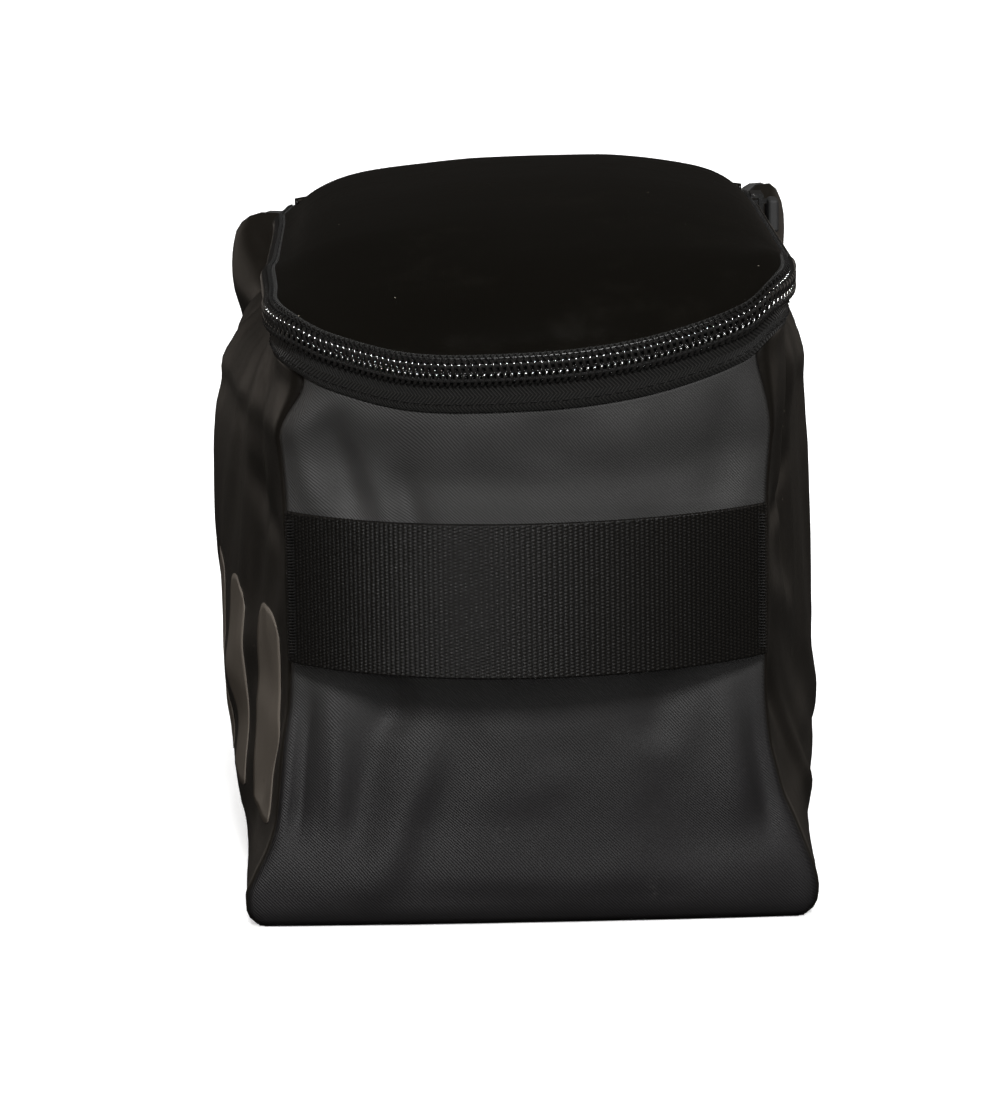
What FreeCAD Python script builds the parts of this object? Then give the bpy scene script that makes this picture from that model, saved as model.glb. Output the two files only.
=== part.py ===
"""Zip-top box bag with an end handle, one STEP file per sub-part.

Millimetres, +Z up. The origin is on the ground under the middle of the bag's overall box. The
front end, which carries the webbing handle, faces -Y. The lid is hinged along the rear end.
"""
import math
import os

import FreeCAD
import Part

V = FreeCAD.Vector
TOUCH = 0.01

# Driving dimensions of the box body
BASE_FRONT_Y = -117.8
BASE_REAR_Y = 143.2
BASE_HALF_WIDTH = 71.0
BASE_FOOT_INSET = 4.0
WAIST_HALF_WIDTH = 59.5
SIDE_BELLY = 15.5

# The zip line in plan: gently bowed front, round corners, straight sides
ZIP_HALF_WIDTH = 67.3
ZIP_FRONT_Y = BASE_FRONT_Y - 14.0
ZIP_FRONT_RADIUS = 228.0
ZIP_CORNER_RADIUS = 25.0
ZIP_END_Y = BASE_FRONT_Y + 246.0
RIM_REAR_Y = BASE_FRONT_Y + 257.0
RIM_REAR_RADIUS = 15.0

# The zip line's height: it dips at the front
ZIP_FRONT_Z = 141.0
ZIP_RISE = 16.0
ZIP_RISE_LENGTH = 115.0
ZIP_SIDE_Z = ZIP_FRONT_Z + ZIP_RISE

# Zip tapes and coils, measured from the zip's centre line
TAPE_THICK = 1.0
TAPE_EDGE = 0.6
TAPE_LOWER_DEPTH = 10.0
TAPE_UPPER_HEIGHT = 6.3
COIL_HEIGHT = 3.1
COIL_THICK = 2.2
COIL_REAR_GAP = 30.0
LAYER_GAP = 0.1
LINING_GAP = 0.5
SEAM_GAP = 0.2
STOP_LENGTH = 2.4
BOTTOM_STOP_GAP = 0.8
TOP_STOP_GAP = 0.4
END_TAB_START = 1.6
END_TAB_END = 0.2

# Fabrics
FABRIC = 1.2
LINING = 0.6
BOARD_THICK = 2.0
BINDING = 2.0
GUARD_INSET = 3.6
GUARD_HANG = 13.0
GUARD_REAR_Y = BASE_FRONT_Y + 222.0
GUARD_TOP = 5.0
BASE_PANEL_INSET = 0.3
BASE_BOARD_INSET = 2.0
BASE_LINING_INSET = 1.0
CORNER_BINDING_INSET = 1.6
CORNER_BINDING_SHARES = (0.07, 0.22, 0.42, 0.62, 0.80, 0.90)
BASE_BOW_SHARE = 0.8

# Lid
LID_CREST_Z = 178.0
LID_EDGE_Z = ZIP_SIDE_Z + TAPE_UPPER_HEIGHT + SEAM_GAP
HINGE_STRIP_START_Y = ZIP_END_Y + 1.0
HINGE_STRIP_TOP_GAP = 0.5
LID_BINDING_INNER = -5.6
LID_BINDING_OUTER = -4.4
LID_BINDING_LOW = 1.0
LID_BINDING_HIGH = 4.0
LID_BINDING_OVERRUN = 12.0

# How far the lid falls below its crest, by share of the half width from the edge inwards
LID_FALL_ACROSS = ((1.0, 17.0), (0.95, 11.0), (0.86, 7.0), (0.6, 3.0), (0.3, 0.8))
# The same along the bag, by distance behind the base's front edge
LID_FALL_ALONG = (
    (-15.0, 34.0),
    (-9.0, 23.0),
    (3.0, 13.5),
    (25.0, 7.0),
    (65.0, 2.2),
    (120.0, 0.0),
    (180.0, 1.8),
    (222.0, 6.0),
    (245.0, 10.5),
    (258.5, 13.6),
)
LID_FLOOR_Z = 100.0

# Handle
HANDLE_WIDTH = 38.0
HANDLE_THICK = 1.4
HANDLE_CENTRE_Z = 86.8
HANDLE_RADIUS = 75.5
HANDLE_HALF_CHORD = 60.0
HANDLE_BOW = 29.0
HANDLE_END_Y = BASE_FRONT_Y + 2.6
HANDLE_END_MARGIN = 0.6
BARTACK_THICK = 0.6
BARTACK_ROW = 1.6
BARTACK_EDGE_ANGLE = 0.015
BARTACK_SIDE_MARGIN = 2.0

# Slider and pull, on the right-hand side of the zip
SLIDER_LENGTH = 12.0
SLIDER_HALF_HEIGHT = 5.4
SLIDER_PLATE = 1.4
SLIDER_Y = ZIP_END_Y - 22.0
CHANNEL_GAP = 0.4
PIN_RADIUS = 0.7
PIN_STANDOFF = 6.3
PULL_LENGTH = 18.0
SLIDER_POST_LENGTH = 3.0
SLIDER_POST_HALF_HEIGHT = 0.2
SLIDER_EDGE_RADIUS = 0.5
LUG_HALF_LENGTH = 2.0
LUG_LOW = 2.3
LUG_HIGH = 3.3
LUG_BEYOND_PIN = 1.3
PIN_HALF_LENGTH = 2.8
EYE_RADIUS = 1.6
EYE_HALF_HEIGHT = 1.9
EYE_GAP = 0.25
PULL_HALF_THICK = 0.5
PULL_HALF_WIDTH = 3.6
PULL_NECK_END = 0.8
PULL_NECK_START = 4.0
PULL_CORNER_RADIUS = 1.5
GRIP_START = 8.0
GRIP_BEYOND = 1.2
GRIP_HALF_THICK = 1.5
GRIP_HALF_WIDTH = 4.8
GRIP_EDGE_RADIUS = 0.9
GRIP_GAP = 0.05

# Side print: plain bars
PRINT_BARS = 4
PRINT_GAP = 0.3
PRINT_THICK = 0.25
PRINT_START = 0.06
PRINT_PITCH = 0.105
PRINT_WIDTH = 0.062
PRINT_LOW = 0.15
PRINT_HIGH = 0.54

# Levels of the body, from the ground to just below the zip tape. Each one has its share of the
# height, the front corner's half width, how far the front corner stands behind the base's
# front edge, the front's outward bow, the sides' belly, the rear corner's half width, how far
# the rear corner stands inside the base's rear edge, and the rear's outward bow.
LEVELS = (
    (0.00, BASE_HALF_WIDTH - BASE_FOOT_INSET, 4.0, 2.5, 2.0, BASE_HALF_WIDTH - BASE_FOOT_INSET, 4.0, 1.0),
    (0.05, BASE_HALF_WIDTH, 1.0, 2.0, 3.5, BASE_HALF_WIDTH, 1.0, 1.5),
    (0.22, 68.5, 1.5, 4.5, 0.60 * SIDE_BELLY, 73.0, 0.5, 2.5),
    (0.42, 63.0, 2.2, 7.0, 0.90 * SIDE_BELLY, 74.5, 0.7, 3.0),
    (0.62, WAIST_HALF_WIDTH, 2.6, 8.5, SIDE_BELLY, 76.0, 1.0, 3.0),
    (0.80, 60.0, 2.0, 9.5, 0.80 * SIDE_BELLY, 77.5, 1.5, 3.0),
    (0.92, 60.0, 0.0, 11.0, 0.50 * SIDE_BELLY, 77.0, 2.5, 2.0),
)
COLUMNS = 24
ROWS = (0.0, 0.05, 0.12, 0.22, 0.32, 0.42, 0.52, 0.62, 0.71, 0.80, 0.86, 0.92, 0.96, 1.0)
PANEL_TRIM = 0.004
LINING_TRIM = 0.012


def zip_angles():
    """The angle where the front arc meets the corner arc, and both arc centres' Y."""
    run = ZIP_HALF_WIDTH - ZIP_CORNER_RADIUS
    reach = ZIP_FRONT_RADIUS - ZIP_CORNER_RADIUS
    front_centre_y = ZIP_FRONT_Y + ZIP_FRONT_RADIUS
    corner_centre_y = front_centre_y - math.sqrt(reach**2 - run**2)
    return math.asin(run / reach), front_centre_y, corner_centre_y


MEET_ANGLE, FRONT_CENTRE_Y, CORNER_CENTRE_Y = zip_angles()
FRONT_ARC = ZIP_FRONT_RADIUS * MEET_ANGLE
CORNER_ARC = ZIP_CORNER_RADIUS * (math.pi / 2 - MEET_ANGLE)
CORNER_MIDDLE = FRONT_ARC + ZIP_CORNER_RADIUS * (math.pi / 4 - MEET_ANGLE)
SIDE_START = FRONT_ARC + CORNER_ARC
ZIP_END = SIDE_START + ZIP_END_Y - CORNER_CENTRE_Y
REAR_STRAIGHT_END = SIDE_START + RIM_REAR_Y - RIM_REAR_RADIUS - CORNER_CENTRE_Y
REAR_CORNER_MIDDLE = REAR_STRAIGHT_END + RIM_REAR_RADIUS * math.pi / 4
REAR_CORNER_END = REAR_STRAIGHT_END + RIM_REAR_RADIUS * math.pi / 2
REAR_MIDDLE = REAR_CORNER_END + ZIP_HALF_WIDTH - RIM_REAR_RADIUS


def rim(s, offset=0.0):
    """Plan position at the distance s along the rim from the front middle, s > 0 to the right."""
    side = 1.0 if s >= 0 else -1.0
    s = abs(s)
    if s <= FRONT_ARC:
        angle = s / ZIP_FRONT_RADIUS
        reach = ZIP_FRONT_RADIUS + offset
        return side * reach * math.sin(angle), FRONT_CENTRE_Y - reach * math.cos(angle)
    if s <= SIDE_START:
        angle = MEET_ANGLE + (s - FRONT_ARC) / ZIP_CORNER_RADIUS
        reach = ZIP_CORNER_RADIUS + offset
        x = ZIP_HALF_WIDTH - ZIP_CORNER_RADIUS + reach * math.sin(angle)
        return side * x, CORNER_CENTRE_Y - reach * math.cos(angle)
    if s <= REAR_STRAIGHT_END:
        return side * (ZIP_HALF_WIDTH + offset), CORNER_CENTRE_Y + s - SIDE_START
    if s <= REAR_CORNER_END:
        angle = (s - REAR_STRAIGHT_END) / RIM_REAR_RADIUS
        reach = RIM_REAR_RADIUS + offset
        x = ZIP_HALF_WIDTH - RIM_REAR_RADIUS + reach * math.cos(angle)
        return side * x, RIM_REAR_Y - RIM_REAR_RADIUS + reach * math.sin(angle)
    return side * (REAR_MIDDLE - s), RIM_REAR_Y + offset


def zip_z(s):
    """Height of the zip's centre line at the distance s from the front middle."""
    turn = math.pi * min(abs(s), ZIP_RISE_LENGTH) / ZIP_RISE_LENGTH
    return ZIP_FRONT_Z + ZIP_RISE * (1 - math.cos(turn)) / 2


def rim_point(s, offset, lift):
    x, y = rim(s, offset)
    return V(x, y, zip_z(s) + lift)


def spread(first, last, count):
    return [first + (last - first) * i / (count - 1) for i in range(count)]


def stations(first, last):
    """Distances along the rim, close together on the arcs and far apart on the straights."""
    marks = [0.0, FRONT_ARC, SIDE_START, ZIP_RISE_LENGTH, REAR_STRAIGHT_END, REAR_CORNER_END]
    marks = sorted(set([first, last] + marks + [-m for m in marks]))
    marks = [m for m in marks if first <= m <= last]
    found = [marks[0]]
    for a, b in zip(marks, marks[1:]):
        middle = abs(a + b) / 2
        bent = middle < ZIP_RISE_LENGTH or REAR_STRAIGHT_END < middle < REAR_CORNER_END
        pieces = max(1, round((b - a) / 8.0)) if bent else 2
        found += spread(a, b, pieces + 1)[1:]
    return found


def band(first, last, inner, outer, low, high):
    """A strip of rectangular section along the rim, between two offsets and two heights."""
    wires = []
    for s in stations(first, last):
        corners = [
            rim_point(s, inner, low),
            rim_point(s, outer, low),
            rim_point(s, outer, high),
            rim_point(s, inner, high),
        ]
        wires.append(Part.makePolygon(corners + corners[:1]))
    return Part.makeLoft(wires, True, True)


def level_row(column):
    """The body's level, at a share of the height between 0 and 1, worked out between LEVELS."""
    for low, high in zip(LEVELS, LEVELS[1:]):
        if column <= high[0]:
            t = (column - low[0]) / (high[0] - low[0])
            return [a + (b - a) * t for a, b in zip(low, high)]
    return list(LEVELS[-1])


def side_shape(u):
    return math.sin(math.pi * u) ** 0.8 if 0 < u < 1 else 0.0


def front_point(u, share):
    """Plan point on the front at a level; u runs from -1, left, to 1, right."""
    _, half, behind, bow, _, _, _, _ = level_row(share)
    return half * u, BASE_FRONT_Y + behind - bow * (1 - u * u)


def rear_point(u, share):
    _, _, _, _, _, half, inside, bow = level_row(share)
    return half * u, BASE_REAR_Y - inside + bow * (1 - u * u)


def right_point(u, share):
    """Plan point on the right-hand side at a level; u runs from 0, front, to 1, rear."""
    _, front_half, behind, _, belly, rear_half, inside, _ = level_row(share)
    x = front_half + (rear_half - front_half) * u + belly * side_shape(u)
    front_y = BASE_FRONT_Y + behind
    return x, front_y + (BASE_REAR_Y - inside - front_y) * u


def left_point(u, share):
    x, y = right_point(u, share)
    return -x, y


def front_rim(u):
    return u * CORNER_MIDDLE


def right_rim(u):
    return CORNER_MIDDLE + (REAR_CORNER_MIDDLE - CORNER_MIDDLE) * u


def left_rim(u):
    return -right_rim(u)


def rear_rim(u):
    side = 1.0 if u >= 0 else -1.0
    return side * (REAR_MIDDLE - (REAR_MIDDLE - REAR_CORNER_MIDDLE) * abs(u))


def front_inward(u):
    return -math.copysign(abs(u) ** 6, u), 1.0


def rear_inward(u):
    return -math.copysign(abs(u) ** 6, u), -1.0


def right_inward(u):
    return -1.0, (1 - u) ** 6 - u**6


def left_inward(u):
    x, y = right_inward(u)
    return -x, y


# Each wall: its lower plan shape, its line on the rim, its inward direction and its first u
WALLS = {
    "front": (front_point, front_rim, front_inward, -1.0),
    "rear": (rear_point, rear_rim, rear_inward, -1.0),
    "right": (right_point, right_rim, right_inward, 0.0),
    "left": (left_point, left_rim, left_inward, 0.0),
}


def wall_point(wall, u, share, depth):
    """A point on a wall, the depth inside its outer face. A share of 1 is the seam on the zip tape."""
    shape, rim_line, inward, _ = WALLS[wall]
    top_z = zip_z(rim_line(u)) - TAPE_LOWER_DEPTH - SEAM_GAP
    last = LEVELS[-1][0]
    if share <= last:
        x, y = shape(u, share)
    else:
        low = shape(u, last)
        top = rim(rim_line(u))
        t = (share - last) / (1 - last)
        x = low[0] + (top[0] - low[0]) * t
        y = low[1] + (top[1] - low[1]) * t
    in_x, in_y = inward(u)
    return V(x + in_x * depth, y + in_y * depth, top_z * share)


def surface(points):
    face = Part.BSplineSurface()
    face.interpolate(points)
    return face


def skin(outer_points, inner_points):
    """A closed solid between two grids of points of the same size."""
    outer = surface(outer_points)
    inner = surface(inner_points)
    faces = [outer.toShape(), inner.toShape()]
    u0, u1, v0, v1 = outer.bounds()
    p0, p1, q0, q1 = inner.bounds()
    edges = [
        (outer.uIso(u0), inner.uIso(p0)),
        (outer.uIso(u1), inner.uIso(p1)),
        (outer.vIso(v0), inner.vIso(q0)),
        (outer.vIso(v1), inner.vIso(q1)),
    ]
    for a, b in edges:
        faces.append(Part.makeRuledSurface(a.toShape(), b.toShape()))
    shell = Part.makeShell(faces)
    shell.sewShape()
    solid = Part.makeSolid(Part.makeShell(shell.Faces))
    if solid.Volume < 0:
        solid.reverse()
    return solid


def shares(bottom):
    """Shares of the height for a wall's grid, starting at bottom."""
    return [bottom] + [s for s in ROWS if s > bottom + TOUCH]


def wall(name, outside, inside, bottom=0.0, trim=PANEL_TRIM):
    """One wall's skin between two depths, trimmed a little at its corner seams."""
    first = WALLS[name][3]
    us = spread(first + trim, 1.0 - trim, COLUMNS + 1)
    outer = [[wall_point(name, u, s, outside) for s in shares(bottom)] for u in us]
    inner = [[wall_point(name, u, s, inside) for s in shares(bottom)] for u in us]
    return skin(outer, inner)


def outer_panel(name):
    return wall(name, 0.0, FABRIC)


def lining_panel(name):
    bottom = (FABRIC + BOARD_THICK + LINING + 3 * LAYER_GAP) / ZIP_FRONT_Z
    depth = FABRIC + LINING_GAP
    return wall(name, depth, depth + LINING, bottom, LINING_TRIM)


def base_face(inset):
    """The base's plan outline, inset from the wall's foot; each side is a shallow arc."""
    half = LEVELS[0][1] - inset
    front_y = BASE_FRONT_Y + LEVELS[0][2] + inset
    rear_y = BASE_REAR_Y - LEVELS[0][6] - inset
    left_front = V(-half, front_y, 0)
    right_front = V(half, front_y, 0)
    right_rear = V(half, rear_y, 0)
    left_rear = V(-half, rear_y, 0)
    middle_y = (front_y + rear_y) / 2
    belly = BASE_BOW_SHARE * LEVELS[0][4]
    bow = BASE_BOW_SHARE * LEVELS[0][3]
    rear_bow = BASE_BOW_SHARE * LEVELS[0][7]
    arcs = [
        Part.Arc(left_front, V(0, front_y - bow, 0), right_front),
        Part.Arc(right_front, V(half + belly, middle_y, 0), right_rear),
        Part.Arc(right_rear, V(0, rear_y + rear_bow, 0), left_rear),
        Part.Arc(left_rear, V(-half - belly, middle_y, 0), left_front),
    ]
    return Part.Face(Part.Wire([arc.toShape() for arc in arcs]))


def plate(inset, low, thick):
    face = base_face(inset)
    face.translate(V(0, 0, low))
    return face.extrude(V(0, 0, thick))


def base_panel():
    return plate(FABRIC + BASE_PANEL_INSET, 0.0, FABRIC)


def base_board():
    return plate(FABRIC + BASE_BOARD_INSET, FABRIC + LAYER_GAP, BOARD_THICK)


def lining_floor():
    low = FABRIC + BOARD_THICK + 2 * LAYER_GAP
    return plate(FABRIC + BASE_LINING_INSET, low, LINING)


def base_seam_binding():
    """Binding tape that runs all round the inside of the base seam."""
    low = FABRIC + BOARD_THICK + LINING + 3 * LAYER_GAP
    inset = FABRIC + LINING + BASE_LINING_INSET
    return plate(inset, low, BINDING).cut(plate(inset + BINDING, low - 1, BINDING + 2))


def corner_binding(side, end):
    """Binding tape up a corner seam, inside the lining; a ruled bar of square section."""
    wires = []
    inset = FABRIC + LINING + CORNER_BINDING_INSET
    toward = 1.0 if end == "front" else -1.0
    for share in CORNER_BINDING_SHARES:
        corner = wall_point(end, side, share, 0.0)
        near = corner + V(-side * inset, toward * inset, 0)
        far = near + V(-side * BINDING, toward * BINDING, 0)
        square = [near, V(far.x, near.y, near.z), far, V(near.x, far.y, near.z)]
        wires.append(Part.makePolygon(square + square[:1]))
    return Part.makeLoft(wires, True, True)


def zip_tape_lower():
    return band(-ZIP_END, ZIP_END, -TAPE_THICK, 0.0, -TAPE_LOWER_DEPTH, -TAPE_EDGE)


def zip_tape_upper():
    return band(-ZIP_END, ZIP_END, -TAPE_THICK, 0.0, TAPE_EDGE, TAPE_UPPER_HEIGHT)


def coil(low):
    end = ZIP_END - COIL_REAR_GAP
    return band(-end, end, LAYER_GAP, LAYER_GAP + COIL_THICK, low, low + COIL_HEIGHT)


def zip_coil_lower():
    return coil(-TAPE_EDGE - COIL_HEIGHT)


def zip_coil_upper():
    return coil(TAPE_EDGE)


def stop_at(first, low, high):
    """A small moulded stop on the face of the tape."""
    return band(first, first + STOP_LENGTH, LAYER_GAP, LAYER_GAP + COIL_THICK, low, high)


def zip_bottom_stop():
    """The stop at the left end, where the slider starts, just past both coils."""
    first = -ZIP_END + COIL_REAR_GAP - BOTTOM_STOP_GAP - STOP_LENGTH
    return stop_at(first, -COIL_HEIGHT - TAPE_EDGE, -TAPE_EDGE)


def zip_top_stop_lower():
    first = ZIP_END - COIL_REAR_GAP + TOP_STOP_GAP
    return stop_at(first, -COIL_HEIGHT - TAPE_EDGE, -TAPE_EDGE)


def zip_top_stop_upper():
    first = ZIP_END - COIL_REAR_GAP + TOP_STOP_GAP
    return stop_at(first, TAPE_EDGE, COIL_HEIGHT + TAPE_EDGE)


def zip_end_tab(side):
    """Folded fabric tab over the tapes' end, sewn to the lower tape."""
    first = ZIP_END - END_TAB_START
    last = ZIP_END - END_TAB_END
    if side < 0:
        first, last = -last, -first
    return band(first, last, LAYER_GAP, LAYER_GAP + FABRIC, -TAPE_LOWER_DEPTH, -TAPE_EDGE)


def hinge_strip():
    """The strip of cloth round the rear end that joins the rear wall to the lid."""
    low = ZIP_SIDE_Z - TAPE_LOWER_DEPTH
    high = LID_EDGE_Z - HINGE_STRIP_TOP_GAP
    behind = box_between((-100, HINGE_STRIP_START_Y, low), (100, RIM_REAR_Y + 10, high))
    return lid_prism(0.0).cut(lid_prism(-TAPE_THICK)).common(behind)


def handle_ring(inner, outer, half_angle, width):
    """Part of an upright ring about the handle's arc centre, symmetrical about X = 0."""
    centre_y = HANDLE_END_Y - HANDLE_BOW + HANDLE_RADIUS
    low = HANDLE_CENTRE_Z - width / 2
    points = []
    for radius in (inner, outer):
        for angle in (-half_angle, 0.0, half_angle):
            x = radius * math.sin(angle)
            points.append(V(x, centre_y - radius * math.cos(angle), low))
    edges = [
        Part.Arc(*points[:3]).toShape(),
        Part.makeLine(points[2], points[5]),
        Part.Arc(*reversed(points[3:])).toShape(),
        Part.makeLine(points[3], points[0]),
    ]
    return Part.Face(Part.Wire(edges)).extrude(V(0, 0, width))


def handle_end_angle():
    return math.asin((HANDLE_HALF_CHORD - HANDLE_END_MARGIN) / (HANDLE_RADIUS + HANDLE_THICK))


def handle_webbing():
    outer = HANDLE_RADIUS + HANDLE_THICK
    return handle_ring(HANDLE_RADIUS, outer, handle_end_angle(), HANDLE_WIDTH)


def handle_bartacks():
    """The rows of dense stitching that hold each end of the webbing."""
    inner = HANDLE_RADIUS + HANDLE_THICK + LAYER_GAP
    outer = inner + BARTACK_THICK
    reach = handle_end_angle() - BARTACK_EDGE_ANGLE
    row = BARTACK_ROW / outer
    width = HANDLE_WIDTH - 2 * BARTACK_SIDE_MARGIN
    whole = handle_ring(inner, outer, reach, width)
    middle = handle_ring(inner - 1, outer + 1, reach - row, width + 2)
    return whole.cut(middle)


def side_print():
    """Plain printed bars on the lower front of the left side."""
    bars = []
    for i in range(PRINT_BARS):
        u = PRINT_START + PRINT_PITCH * i
        us = spread(u, u + PRINT_WIDTH, 4)
        vs = spread(PRINT_LOW, PRINT_HIGH, 8)
        outer = [[wall_point("left", a, b, -PRINT_GAP - PRINT_THICK) for b in vs] for a in us]
        inner = [[wall_point("left", a, b, -PRINT_GAP) for b in vs] for a in us]
        bars.append(skin(outer, inner))
    return Part.makeCompound(bars)


def rim_face(offset):
    """The whole rim's plan outline at an offset, as a face."""
    marks = [0.0, FRONT_ARC, SIDE_START, REAR_STRAIGHT_END, REAR_CORNER_END, REAR_MIDDLE]
    edges = []
    for side in (1, -1):
        for i, (a, b) in enumerate(zip(marks, marks[1:])):
            first, middle, last = (V(*rim(side * s, offset), 0) for s in (a, (a + b) / 2, b))
            if side < 0 and i == 0:
                first = V(*rim(0.0, offset), 0)
            if i in (0, 1, 3):
                edges.append(Part.Arc(first, middle, last).toShape())
            else:
                edges.append(Part.makeLine(first, last))
    return Part.Face(Part.Wire(Part.__sortEdges__(edges)))


def lid_prism(offset):
    return rim_face(offset).extrude(V(0, 0, LID_CREST_Z + 20))


def arch_over_width(drop):
    """Extruded arch across the bag that bounds the lid's height."""
    crest = LID_CREST_Z - drop
    half = ZIP_HALF_WIDTH + 0.5
    left = [V(-half * x, 0, crest - fall) for x, fall in LID_FALL_ACROSS]
    right = [V(-p.x, 0, p.z) for p in reversed(left)]
    curve = Part.BSplineCurve()
    curve.interpolate(left + [V(0, 0, crest)] + right)
    return arch_solid(curve, left[0], right[-1], V(0, 2 * RIM_REAR_Y + 200, 0), V(0, -200, 0))


def arch_over_length(drop):
    """Extruded arch along the bag that bounds the lid's height."""
    crest = LID_CREST_Z - drop
    points = [V(0, BASE_FRONT_Y + y, crest - fall) for y, fall in LID_FALL_ALONG]
    curve = Part.BSplineCurve()
    curve.interpolate(points)
    return arch_solid(curve, points[0], points[-1], V(300, 0, 0), V(-150, 0, 0))


def arch_solid(curve, first, last, along, start):
    below_last = V(last.x, last.y, LID_FLOOR_Z)
    below_first = V(first.x, first.y, LID_FLOOR_Z)
    lines = [
        Part.makeLine(last, below_last),
        Part.makeLine(below_last, below_first),
        Part.makeLine(below_first, first),
    ]
    face = Part.Face(Part.Wire([curve.toShape()] + lines))
    face.translate(start)
    return face.extrude(along)


def above_zip(lift):
    """Everything above the zip line raised by lift, as an extruded profile along the bag."""
    marks = spread(0.0, ZIP_RISE_LENGTH, 12)
    points = [V(0, rim(s, -0.6)[1], zip_z(s) + lift) for s in marks]
    flat_z = points[-1].z
    top_z = LID_CREST_Z + 30
    corners = [V(0, RIM_REAR_Y + 30, flat_z), V(0, RIM_REAR_Y + 30, top_z)]
    corners += [V(0, ZIP_FRONT_Y - 30, top_z), V(0, ZIP_FRONT_Y - 30, points[0].z)]
    face = Part.Face(Part.makePolygon(points + corners + points[:1]))
    face.translate(V(-150, 0, 0))
    return face.extrude(V(300, 0, 0))


def dome(inset):
    """The lid's solid form, inset on the sides and on top."""
    return lid_prism(-SEAM_GAP - inset).common(arch_over_width(inset)).common(arch_over_length(inset))


def lid_layer(outside, inside):
    layer = dome(outside).cut(dome(inside))
    return layer.common(above_zip(TAPE_UPPER_HEIGHT + 3 * SEAM_GAP))


def lid_panel():
    return lid_layer(0.0, FABRIC)


def lid_lining():
    return lid_layer(FABRIC + LAYER_GAP, FABRIC + LAYER_GAP + LINING)


def lid_seam_binding():
    """Binding round the inside of the lid's edge, from one zip end to the other."""
    end = SIDE_START + GUARD_REAR_Y + LID_BINDING_OVERRUN - CORNER_CENTRE_Y
    inner, outer = LID_BINDING_INNER, LID_BINDING_OUTER
    return band(-end, end, inner, outer, LID_BINDING_LOW, LID_BINDING_HIGH)


def zip_guard_flap():
    """Cloth flap behind the zip, hung from the lid, that keeps light out."""
    end = SIDE_START + GUARD_REAR_Y - CORNER_CENTRE_Y
    return band(-end, end, -GUARD_INSET - LINING, -GUARD_INSET, -GUARD_HANG, GUARD_TOP)


def box_between(low, high):
    size = V(*high) - V(*low)
    return Part.makeBox(size.x, size.y, size.z, V(*low))


def slider_box(x, y, z):
    """A box by its distances from the zip's side line, the slider's middle and the zip's height."""
    low = (ZIP_HALF_WIDTH + x[0], SLIDER_Y + y[0], ZIP_SIDE_Z + z[0])
    high = (ZIP_HALF_WIDTH + x[1], SLIDER_Y + y[1], ZIP_SIDE_Z + z[1])
    return box_between(low, high)


def slider_body():
    """Two plates with edge flanges round the coils, joined by the slider's thin post."""
    half = SLIDER_LENGTH / 2
    coil_face = LAYER_GAP + COIL_THICK + CHANNEL_GAP
    back_face = -TAPE_THICK - CHANNEL_GAP
    inside = TAPE_EDGE + COIL_HEIGHT + CHANNEL_GAP
    high = SLIDER_HALF_HEIGHT
    solid = slider_box((coil_face, coil_face + SLIDER_PLATE), (-half, half), (-high, high))
    solid = solid.fuse(slider_box((back_face - SLIDER_PLATE, back_face), (-half, half), (-high, high)))
    thin = SLIDER_POST_HALF_HEIGHT
    post = slider_box((back_face, coil_face), (-half, -half + SLIDER_POST_LENGTH), (-thin, thin))
    solid = solid.fuse(post)
    for low, top in ((inside, high), (-high, -inside)):
        solid = solid.fuse(slider_box((CHANNEL_GAP, coil_face), (-half, half), (low, top)))
    return rounded(solid.removeSplitter())


def rounded(solid):
    """Rounds the slider's long outer edges."""
    edges = [e for e in solid.Edges if is_outer_long_edge(e)]
    return solid.makeFillet(SLIDER_EDGE_RADIUS, edges)


def is_outer_long_edge(edge):
    if edge.Length < SLIDER_LENGTH - 0.1 or len(edge.Vertexes) != 2:
        return False
    z = edge.CenterOfMass.z - ZIP_SIDE_Z
    return abs(abs(z) - SLIDER_HALF_HEIGHT) < TOUCH


def slider_bridge():
    """Two lugs and the cross pin that the pull turns on."""
    foot = LAYER_GAP + COIL_THICK + CHANNEL_GAP + SLIDER_PLATE
    reach = (foot, PIN_STANDOFF + LUG_BEYOND_PIN)
    length = (-LUG_HALF_LENGTH, LUG_HALF_LENGTH)
    upper = slider_box(reach, length, (LUG_LOW, LUG_HIGH))
    lower = slider_box(reach, length, (-LUG_HIGH, -LUG_LOW))
    pin_start = V(ZIP_HALF_WIDTH + PIN_STANDOFF, SLIDER_Y, ZIP_SIDE_Z - PIN_HALF_LENGTH)
    pin = Part.makeCylinder(PIN_RADIUS, 2 * PIN_HALF_LENGTH, pin_start, V(0, 0, 1))
    return upper.fuse(lower).fuse(pin)


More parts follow.
